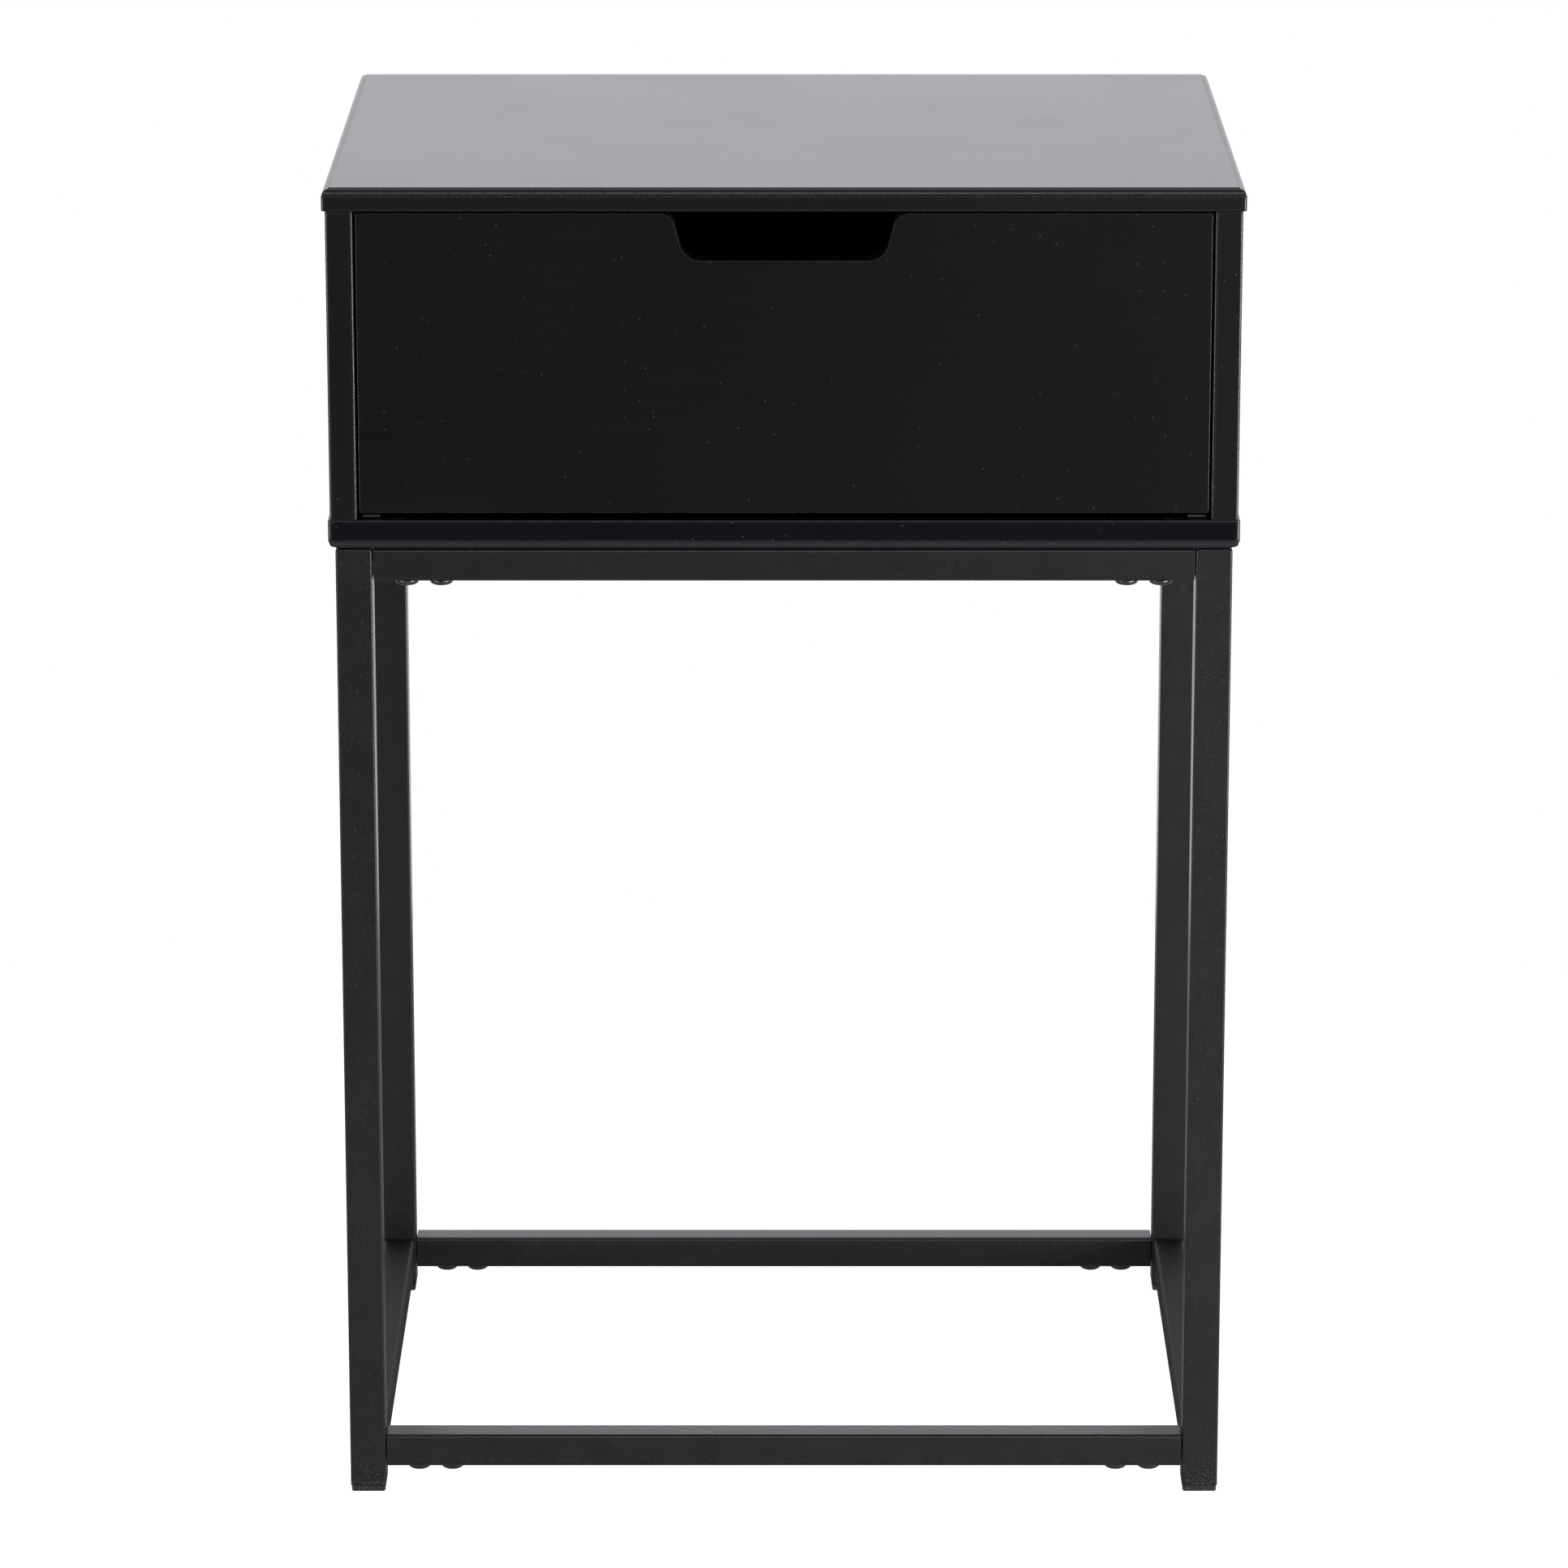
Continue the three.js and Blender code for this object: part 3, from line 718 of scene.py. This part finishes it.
def build_side_panel(side, sign):
    """A side panel, with a rebate for the back panel along its rear edge."""
    node = f"side_panel_{side}"
    low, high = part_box(node)
    outer, inner = sorted((low.x, high.x), key=abs, reverse=True)
    step = inner + sign * REBATE_WIDTH
    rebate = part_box("back_panel")[0].y - GAP
    corners = [
        (inner, low.y, SIDE_RADIUS),
        (outer, low.y, SIDE_RADIUS),
        (outer, high.y, SIDE_RADIUS),
        (step, high.y, 0),
        (step, rebate, 0),
        (inner, rebate, 0),
    ]
    if sign < 0:
        corners.reverse()
    bm = bmesh.new()
    prism(bm, shape(corners), "z", low.z, high.z, FINE_EDGE, FINE_EDGE, THIN_SUPPORT)
    stand_in(node, bm, LACQUER, "lacquer")


def build_back_panel():
    """The back panel, let in between the side panels."""
    low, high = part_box("back_panel")
    bm = bmesh.new()
    ring = rectangle((low.x, low.z), (high.x, high.z), BACK_RADIUS)
    prism(bm, ring, "y", low.y, high.y, CUT_EDGE, CUT_EDGE)
    stand_in("back_panel", bm, LACQUER, "lacquer")


# ---------------------------------------------------------------- drawer


def groove():
    """A cutter for the groove that holds the drawer's bottom."""
    low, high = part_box("drawer_bottom")
    bm = bmesh.new()
    reach = high.x + GAP
    ring = rectangle((-reach, low.z - GAP), (reach, high.z + GAP), INNER_CORNER)
    prism(bm, ring, "y", low.y - GAP, high.y + OVERSHOOT)
    return bm


def build_drawer_front():
    """The drawer front, with the finger grip cut into its upper edge."""
    low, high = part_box("drawer_front")
    right_half = [
        (high.x, low.z, 0),
        (high.x, high.z, 0),
        (GRIP_TOP_HALF, high.z, GRIP_LIP_RADIUS),
        (GRIP_FLOOR_HALF, high.z - GRIP_DEPTH, GRIP_FLOOR_RADIUS),
    ]
    left_half = [(-x, z, radius) for x, z, radius in reversed(right_half)]
    bm = bmesh.new()
    ring = shape(right_half + left_half)
    prism(bm, ring, "y", low.y, high.y, FRONT_RADIUS, FRONT_RADIUS, THIN_SUPPORT)
    stand_in("drawer_front", bm, GRAINED, "grained_lacquer", cut=[groove()])


def build_drawer_box():
    """The drawer's two sides, its back and its bottom."""
    for side in SIDES:
        node = f"drawer_side_{side}"
        low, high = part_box(node)
        bm = bmesh.new()
        ring = rectangle(low.xz, high.xz, BOX_RADIUS)
        prism(bm, ring, "y", low.y, high.y, CUT_EDGE, CUT_EDGE)
        stand_in(node, bm, FOIL, "drawer_box", cut=[groove()])

    low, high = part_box("drawer_back")
    bm = bmesh.new()
    ring = rectangle(low.yz, high.yz, BOX_RADIUS)
    prism(bm, ring, "x", low.x, high.x, BOX_BACK_EDGE, BOX_BACK_EDGE)
    stand_in("drawer_back", bm, FOIL, "drawer_box")

    low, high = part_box("drawer_bottom")
    bm = bmesh.new()
    ring = rectangle(low.xy, high.xy, BOX_FLOOR_RADIUS)
    prism(bm, ring, "z", low.z, high.z, CUT_EDGE, CUT_EDGE)
    stand_in("drawer_bottom", bm, FOIL, "drawer_box")


# ---------------------------------------------------------------- runners


def turned_to(point, direction):
    """A frame at a point whose Z axis points along X, to the right or to the left."""
    turn = Matrix.Rotation(math.copysign(math.pi / 2, direction), 4, "Y")
    return Matrix.Translation(point) @ turn


def sheet_profile(path, side):
    """The outline of bent sheet along a path of (x, z) points, SHEET thick to its left."""
    left = []
    right = []
    last = len(path) - 1
    for i, (x, z) in enumerate(path):
        point = Vector((x, z))
        before = (point - Vector(path[i - 1])).normalized() if i else None
        after = (Vector(path[i + 1]) - point).normalized() if i < last else None
        first = before or after
        second = after or before
        across = Vector((-first.y - second.y, first.x + second.x))
        shift = across * (2 * SHEET / across.length_squared)
        if i in (0, last):
            outer = inner = 0
        elif first.x * second.y > first.y * second.x:
            outer, inner = BEND_RADIUS, BEND_RADIUS - SHEET
        else:
            outer, inner = BEND_RADIUS - SHEET, BEND_RADIUS
        right.append((*point, outer))
        left.append((*(point + shift), inner))
    corners = [(side * x, z, radius) for x, z, radius in right + left[::-1]]
    return corners if side > 0 else corners[::-1]


def roller_axis(owner, side):
    """Where the axis of a roller crosses the plane of Y and Z."""
    low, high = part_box(f"{owner}_roller_{side}")
    return (low.y + high.y) / 2, (low.z + high.z) / 2


def pin(axis, start, end, sign):
    """A rivet-like pin from the web at start to its domed head at end."""
    bm = bmesh.new()
    length = abs(end - start)
    at = turned_to(Vector((sign * start, *axis)), sign * (end - start))
    profile = [
        (PIN_RADIUS, -PIN_ROOT),
        (PIN_RADIUS, length - PIN_HEAD),
        (PIN_HEAD_RADIUS, length - PIN_HEAD),
        (PIN_HEAD_RADIUS, length - 0.5 * PIN_HEAD),
        (PIN_HEAD_RADIUS * 0.86, length - 0.15 * PIN_HEAD),
        (PIN_HEAD_RADIUS * 0.5, length),
    ]
    lathe(bm, profile, at, SMALL_SIDES)
    return bm


def runner_screw(name, body, place, direction, height):
    """A flat cross-recess screw head that fixes a runner, seen on the runner's web."""
    bm = bmesh.new()
    at = turned_to(place, direction)
    profile = [
        (RUNNER_SCREW_RADIUS * 0.5, -RUNNER_SCREW_ROOT),
        (RUNNER_SCREW_RADIUS * 0.97, 0.0),
        (RUNNER_SCREW_RADIUS, 0.25 * height),
        (RUNNER_SCREW_RADIUS * 0.9, 0.7 * height),
        (RUNNER_SCREW_RADIUS * 0.6, 0.95 * height),
        (RUNNER_SCREW_RADIUS * 0.3, height),
    ]
    lathe(bm, profile, at, SMALL_SIDES)
    made = mesh_object(name, bm)
    half_length = 0.55 * RUNNER_SCREW_RADIUS
    for turn in (0, math.pi / 2):
        slit = bmesh.new()
        ring = rectangle((-RECESS_HALF_WIDTH, -half_length), (RECESS_HALF_WIDTH, half_length))
        prism(slit, ring, "z", 0.4 * height, 3 * height, support=RECESS_SUPPORT)
        bmesh.ops.transform(slit, matrix=at @ Matrix.Rotation(turn, 4, "Z"), verts=slit.verts)
        combine(made, slit)
    dress(made, SCREW, "screw_steel", body)


def runner_screws(owner, side, body, x, direction, start, end, axis_height, layout):
    """The screws that fix one runner, spread between two places along it."""
    for i, share in enumerate(layout["shares"]):
        place = Vector((x, start + share * (end - start), axis_height + layout["above_axis"]))
        name = f"{owner}_runner_screw_{side}_{i + 1}"
        runner_screw(name, body, place, direction, layout["height"])


def build_case_runner(side, sign):
    """The channel fixed to the case, with its front tab and the pin of its roller."""
    node = f"case_runner_{side}"
    low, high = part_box(node)
    inside, outside = sorted((abs(low.x), abs(high.x)))
    web = outside - SHEET
    lip = outside - CASE_FLANGE
    front = low.y + FRONT_TAB
    axis = roller_axis("case", side)
    path = [(lip, low.z), (outside, low.z), (outside, high.z), (lip, high.z)]
    bm = bmesh.new()
    profile = shape(sheet_profile(path, sign))
    prism(bm, profile, "y", front, high.y, FINE_EDGE, FINE_EDGE, THIN_SUPPORT)
    tab_x = sorted((sign * lip, sign * (outside - BEND_RADIUS)))
    ring = rectangle((tab_x[0], low.z), (tab_x[1], low.z + SHEET))
    tab = bmesh.new()
    prism(tab, ring, "y", low.y, front + TAB_OVERLAP, FINE_EDGE, 0, THIN_SUPPORT)
    stand_in(node, bm, RUNNER, "runner_steel", joined=[tab, pin(axis, web, inside, sign)])
    x = sign * web
    runner_screws("case", side, "root", x, -sign, front, high.y, axis[1], CASE_SCREWS)


def build_drawer_runner(side, sign):
    """The bent strip fixed to the drawer, with the pin of its roller."""
    node = f"drawer_runner_{side}"
    low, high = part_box(node)
    inside, reach = sorted((abs(low.x), abs(high.x)))
    face = inside + DRAWER_HOOK
    ledge = high.z - SHEET
    axis = roller_axis("drawer", side)
    path = [(inside, low.z), (face, low.z), (face, ledge), (reach, ledge)]
    bm = bmesh.new()
    profile = shape(sheet_profile(path, sign))
    prism(bm, profile, "y", low.y, high.y, FINE_EDGE, FINE_EDGE, THIN_SUPPORT)
    pin_end = max(abs(corner.x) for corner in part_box(f"drawer_roller_{side}")) + GAP + PIN_HEAD
    stand_in(node, bm, RUNNER, "runner_steel", joined=[pin(axis, face, pin_end, sign)])
    x = sign * face
    runner_screws("drawer", side, "drawer", x, sign, low.y, high.y, axis[1], DRAWER_SCREWS)


def build_roller(owner, side):
    """A roller with a dished face on both sides."""
    node = f"{owner}_roller_{side}"
    low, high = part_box(node)
    radius = (high.z - low.z) / 2
    width = high.x - low.x
    hub = PIN_RADIUS + GAP + ROLLER_HUB
    tread = radius - ROLLER_TREAD
    half = [
        (PIN_RADIUS + GAP, 0),
        (hub, 0),
        (hub + ROLLER_SLOPE, ROLLER_DISH),
        (tread - ROLLER_SLOPE, ROLLER_DISH),
        (tread, 0),
        (radius - ROLLER_EASE, 0),
        (radius - 0.3 * ROLLER_EASE, 0.3 * ROLLER_EASE),
        (radius, ROLLER_EASE),
    ]
    other_half = [(r, width - height) for r, height in reversed(half)]
    at = turned_to(Vector((low.x, *roller_axis(owner, side))), 1)
    bm = bmesh.new()
    washer(bm, half + other_half, at, ROLLER_SIDES)
    stand_in(node, bm, NYLON, "roller_plastic")


# ---------------------------------------------------------------- frame


def build_leg(side, end):
    """A leg of square tube, closed at its top."""
    node = f"leg_{end}_{side}"
    low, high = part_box(node)
    high.z -= SEAM
    bm = bmesh.new()
    ring = rectangle(low.xy, high.xy, LEG_RADIUS)
    prism(bm, ring, "z", low.z, high.z, LEG_FOOT_EDGE, LEG_TOP_RADIUS)
    bore = bmesh.new()
    wall = Vector((TUBE_WALL, TUBE_WALL))
    ring = rectangle(low.xy + wall, high.xy - wall, INNER_CORNER)
    prism(bore, ring, "z", low.z - OVERSHOOT, high.z - LEG_CAP)
    stand_in(node, bm, POWDER, "powder_coat", cut=[bore])


def build_foot(side, end):
    """A foot: a plate under the leg and the plug that holds it in the bore."""
    node = f"foot_{end}_{side}"
    low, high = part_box(node)
    bm = bmesh.new()
    ring = rectangle(low.xy, high.xy, FOOT_RADIUS)
    prism(bm, ring, "z", low.z, FOOT_HEIGHT, FOOT_LOWER_EDGE, FOOT_UPPER_EDGE)
    plug = bmesh.new()
    ring = rectangle(low.xy + PLUG_INSET, high.xy - PLUG_INSET, PLUG_RADIUS)
    prism(plug, ring, "z", FOOT_HEIGHT - PLUG_OVERLAP, high.z, 0, PLUG_TIP)
    stand_in(node, bm, FOOT, "foot_plastic", joined=[plug])


def tube_rings(low, high):
    """The outer and the inner outline of a rail, from its section's corners."""
    wall = Vector((TUBE_WALL, TUBE_WALL))
    return rectangle(low, high, RAIL_RADIUS), rectangle(low + wall, high - wall, INNER_CORNER)


def weld_outline(low, high):
    """A rail's outline from one upper corner down, round the underside and up to the other."""
    (x0, z0), (x1, z1) = low, high
    corners = [(x0, z1, 0), (x0, z0, RAIL_RADIUS), (x1, z0, RAIL_RADIUS), (x1, z1, 0)]
    top = z1 - WELD_DROP
    return [
        Vector((point.x, min(point.y, top)))
        for point in outline(corners)
        if point.y < z1 - 0.5 * WELD_DROP or point.x in (x0, x1)
    ]


def evenly(points, spacing):
    """Points at an even spacing along a path."""
    made = [points[0]]
    for a, b in zip(points, points[1:]):
        steps = max(1, round((b - a).length / spacing))
        made += [a.lerp(b, k / steps) for k in range(1, steps + 1)]
    return made


def weld(name, points, closed):
    """A thin, slightly uneven bead of weld along a path in a plane across Y."""
    rng = random.Random(name)
    bm = bmesh.new()
    out = Vector((0, 1, 0))
    turns = [2 * math.pi * k / WELD_SIDES for k in range(WELD_SIDES)]
    count = len(points)
    rings = []
    for i, point in enumerate(points):
        ahead = points[(i + 1) % count] if closed or i + 1 < count else point
        behind = points[i - 1] if closed or i else point
        across = (ahead - behind).normalized().cross(out)
        radius = WELD_RADIUS * rng.uniform(*WELD_UNEVEN)
        rings.append([point + (out * math.cos(a) + across * math.sin(a)) * radius for a in turns])
    if closed:
        rings.append(rings[0])
    loops = skin(bm, rings)
    if closed:
        bmesh.ops.remove_doubles(bm, verts=bm.verts, dist=MERGE)
    else:
        bm.faces.new(loops[0])
        bm.faces.new(loops[-1])
    dress(mesh_object(name, bm), POWDER, "powder_coat", "root")


def build_side_rail(level, side):
    """A side rail with the weld beads where it meets its two legs.
    The upper rails lie against the case, so their beads leave out the top."""
    node = f"side_rail_{level}_{side}"
    low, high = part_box(node)
    if level == "top":
        high.z -= SEAM
    bm = bmesh.new()
    outer, inner = tube_rings(low.xz, high.xz)
    tube(bm, outer, inner, "y", low.y, high.y, SIDE_RAIL_EASE)
    stand_in(node, bm, DULL_POWDER, "powder_coat")

    closed = level == "bottom"
    for end, sign in ENDS.items():
        y = (high.y if sign > 0 else low.y) + sign * GAP / 2
        ring = [PLACE["y"](point, y) for point in weld_outline(low.xz, high.xz)]
        path = evenly([*ring, ring[0]], WELD_SPACING)[:-1] if closed else evenly(ring, WELD_SPACING)
        weld(f"weld_{level}_{end}_{side}", path, closed)


def build_cross_rail(level, end):
    """A cross rail, a little short of its legs, with holes for the screws at both its ends."""
    node = f"cross_rail_{level}_{end}"
    low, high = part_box(node)
    if level == "top":
        high.z -= SEAM
    bm = bmesh.new()
    outer, inner = tube_rings(low.yz, high.yz)
    tube(bm, outer, inner, "x", low.x + SEAM, high.x - SEAM, CROSS_RAIL_EASE)
    holes = bmesh.new()
    for side, which in product(SIDES, SCREW_PLACES):
        into_case = level == "top" and which == "inner"
        depth = PILOT_THROUGH if into_case else PILOT_BLIND
        drill(holes, f"screw_{level}_{end}_{side}_{which}", low.z, depth, SMALL_SIDES)
    stand_in(node, bm, POWDER, "powder_coat", cut=[holes])


def dome(head):
    """A button head's crown, from the flat ring round its socket to its straight edge."""
    flat = 0.48 * head
    rise = SCREW_HEAD - SCREW_RIM
    turns = [math.pi / 2 * k / DOME_STEPS for k in range(DOME_STEPS + 1)]
    return [(flat + (head - flat) * math.sin(a), rise * (1 - math.cos(a))) for a in turns]


def build_screw(node):
    """A button-head screw, head down, with a hexagon socket."""
    low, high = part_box(node)
    centre = (low + high) / 2
    head = (high.x - low.x) / 2
    length = high.z - low.z
    at = Matrix.Translation((centre.x, centre.y, low.z))
    profile = [
        *dome(head),
        (head, SCREW_HEAD - SCREW_EASE),
        (head - SCREW_EASE, SCREW_HEAD),
        (SCREW_SHANK_RADIUS, SCREW_HEAD),
        (SCREW_SHANK_RADIUS, length - SCREW_TIP),
        (SCREW_SHANK_RADIUS - SCREW_TIP, length),
    ]
    bm = bmesh.new()
    lathe(bm, profile, at)
    hexagon = SOCKET_FLATS / math.sqrt(3)
    tip = (0.2 * hexagon, SOCKET_DEPTH + SOCKET_CONE)
    socket = bmesh.new()
    lathe(socket, [(hexagon, -SOCKET_MOUTH), (hexagon, SOCKET_DEPTH), tip], at, 6)
    stand_in(node, bm, SCREW, "screw_steel", cut=[socket])


build_top_panel()
build_bottom_panel()
for side, sign in SIDES.items():
    build_side_panel(side, sign)
build_back_panel()

build_drawer_front()
build_drawer_box()

for side, sign in SIDES.items():
    build_case_runner(side, sign)
    build_drawer_runner(side, sign)
    build_roller("case", side)
    build_roller("drawer", side)

for side, end in product(SIDES, ENDS):
    build_leg(side, end)
    build_foot(side, end)
for level in LEVELS:
    for side in SIDES:
        build_side_rail(level, side)
    for end in ENDS:
        build_cross_rail(level, end)
for level, end, side, which in product(LEVELS, ENDS, SIDES, SCREW_PLACES):
    build_screw(f"screw_{level}_{end}_{side}_{which}")

for node in frame["nodes"].values():
    if not node.hide_render:
        node.data.materials.clear()
        node.data.materials.append(POWDER)


# ---------------------------------------------------------------- stage

CAMERA_AHEAD = 3.05  # in front of the table's front edge
CAMERA_HEIGHT = 1.162
CAMERA_PITCH = 0.2651  # radians below the horizon
CAMERA_LENS = 164.5
FLOOR_RADIUS = 0.8
FLOOR_GREY = 0.62
FLOOR_LIFT = 0.9  # a glow that only the camera sees, so that the floor ends in white
TABLE_MIDDLE = (0, 0, 0.35)
# How bright the studio is, from its front (0) to its back (1).
ROOM = ((0.0, 0.09), (0.2, 0.12), (0.45, 0.12), (0.62, 0.2), (0.82, 1.06), (1.0, 1.22))
ROOM_TINT = (1, 0.985, 1.05)


def build_camera():
    """The camera, in front of the table and looking down on it."""
    data = bpy.data.cameras.new("camera")
    data.lens = CAMERA_LENS
    data.sensor_width = 36
    data.clip_start = 0.05
    data.clip_end = 60
    camera = bpy.data.objects.new("camera", data)
    camera.location = (0, cad_bounds[0].y - CAMERA_AHEAD, CAMERA_HEIGHT)
    camera.rotation_euler = (math.pi / 2 - CAMERA_PITCH, 0, 0)
    bpy.context.scene.collection.objects.link(camera)
    bpy.context.scene.camera = camera


def build_floor():
    """A pale, matt disc under the table, which the camera sees as white as the backdrop."""
    bm = bmesh.new()
    bmesh.ops.create_circle(bm, cap_ends=True, segments=128, radius=FLOOR_RADIUS)
    floor = mesh_object("floor", bm)
    material = bpy.data.materials.new("pale_floor")
    material.use_nodes = True
    tree = material.node_tree
    shader = tree.nodes["Principled BSDF"]
    shader.inputs["Base Color"].default_value = (FLOOR_GREY, FLOOR_GREY, FLOOR_GREY, 1)
    shader.inputs["Roughness"].default_value = 0.9
    shader.inputs["Specular IOR Level"].default_value = 0
    shader.inputs["Emission Color"].default_value = (1, 1, 1, 1)
    seen = tree.nodes.new("ShaderNodeLightPath")
    lift = tree.nodes.new("ShaderNodeMath")
    lift.operation = "MULTIPLY"
    lift.inputs[1].default_value = FLOOR_LIFT
    tree.links.new(seen.outputs["Is Camera Ray"], lift.inputs[0])
    tree.links.new(lift.outputs[0], shader.inputs["Emission Strength"])
    floor.data.materials.append(material)


def build_world():
    """A studio: a bright backdrop behind the table and a dim room in front of it.
    The camera itself sees plain white."""
    world = bpy.data.worlds.new("studio")
    bpy.context.scene.world = world
    world.use_nodes = True
    tree = world.node_tree
    tree.nodes.clear()
    direction = tree.nodes.new("ShaderNodeTexCoord")
    split = tree.nodes.new("ShaderNodeSeparateXYZ")
    tree.links.new(direction.outputs["Generated"], split.inputs[0])
    ramp = tree.nodes.new("ShaderNodeValToRGB")
    scale = tree.nodes.new("ShaderNodeMapRange")
    scale.inputs["From Min"].default_value = -1
    scale.inputs["From Max"].default_value = 1
    tree.links.new(split.outputs["Y"], scale.inputs["Value"])
    tree.links.new(scale.outputs["Result"], ramp.inputs["Fac"])
    elements = ramp.color_ramp.elements
    while len(elements) < len(ROOM):
        elements.new(0.5)
    for element, (position, grey) in zip(elements, ROOM):
        element.position = position
        element.color = (*(grey * share for share in ROOM_TINT), 1)
    room = tree.nodes.new("ShaderNodeBackground")
    tree.links.new(ramp.outputs["Color"], room.inputs["Color"])
    plain = tree.nodes.new("ShaderNodeBackground")
    plain.inputs["Color"].default_value = (1, 1, 1, 1)
    seen = tree.nodes.new("ShaderNodeLightPath")
    mixed = tree.nodes.new("ShaderNodeMixShader")
    tree.links.new(seen.outputs["Is Camera Ray"], mixed.inputs["Fac"])
    tree.links.new(room.outputs[0], mixed.inputs[1])
    tree.links.new(plain.outputs[0], mixed.inputs[2])
    output = tree.nodes.new("ShaderNodeOutputWorld")
    tree.links.new(mixed.outputs[0], output.inputs["Surface"])


def build_softbox(name, place, size, power):
    """A rectangular area light that faces the table's middle."""
    data = bpy.data.lights.new(name, "AREA")
    data.shape = "RECTANGLE"
    data.size, data.size_y = size
    data.energy = power
    light = bpy.data.objects.new(name, data)
    light.location = place
    away = Vector(place) - Vector(TABLE_MIDDLE)
    light.rotation_euler = away.to_track_quat("Z", "Y").to_euler()
    light.visible_camera = False
    bpy.context.scene.collection.objects.link(light)


build_camera()
build_floor()
build_world()
# The two low ones give the light lines on the case's upright edges.
build_softbox("softbox_left", (-1.6, -1.4, 0.16), size=(1.0, 0.3), power=11)
build_softbox("softbox_right", (1.3, -1.3, 0.16), size=(1.0, 0.4), power=22)
build_softbox("softbox_front", (0.3, -2.7, 2.6), size=(2.0, 0.8), power=19)

bpy.context.scene.view_settings.view_transform = "Standard"
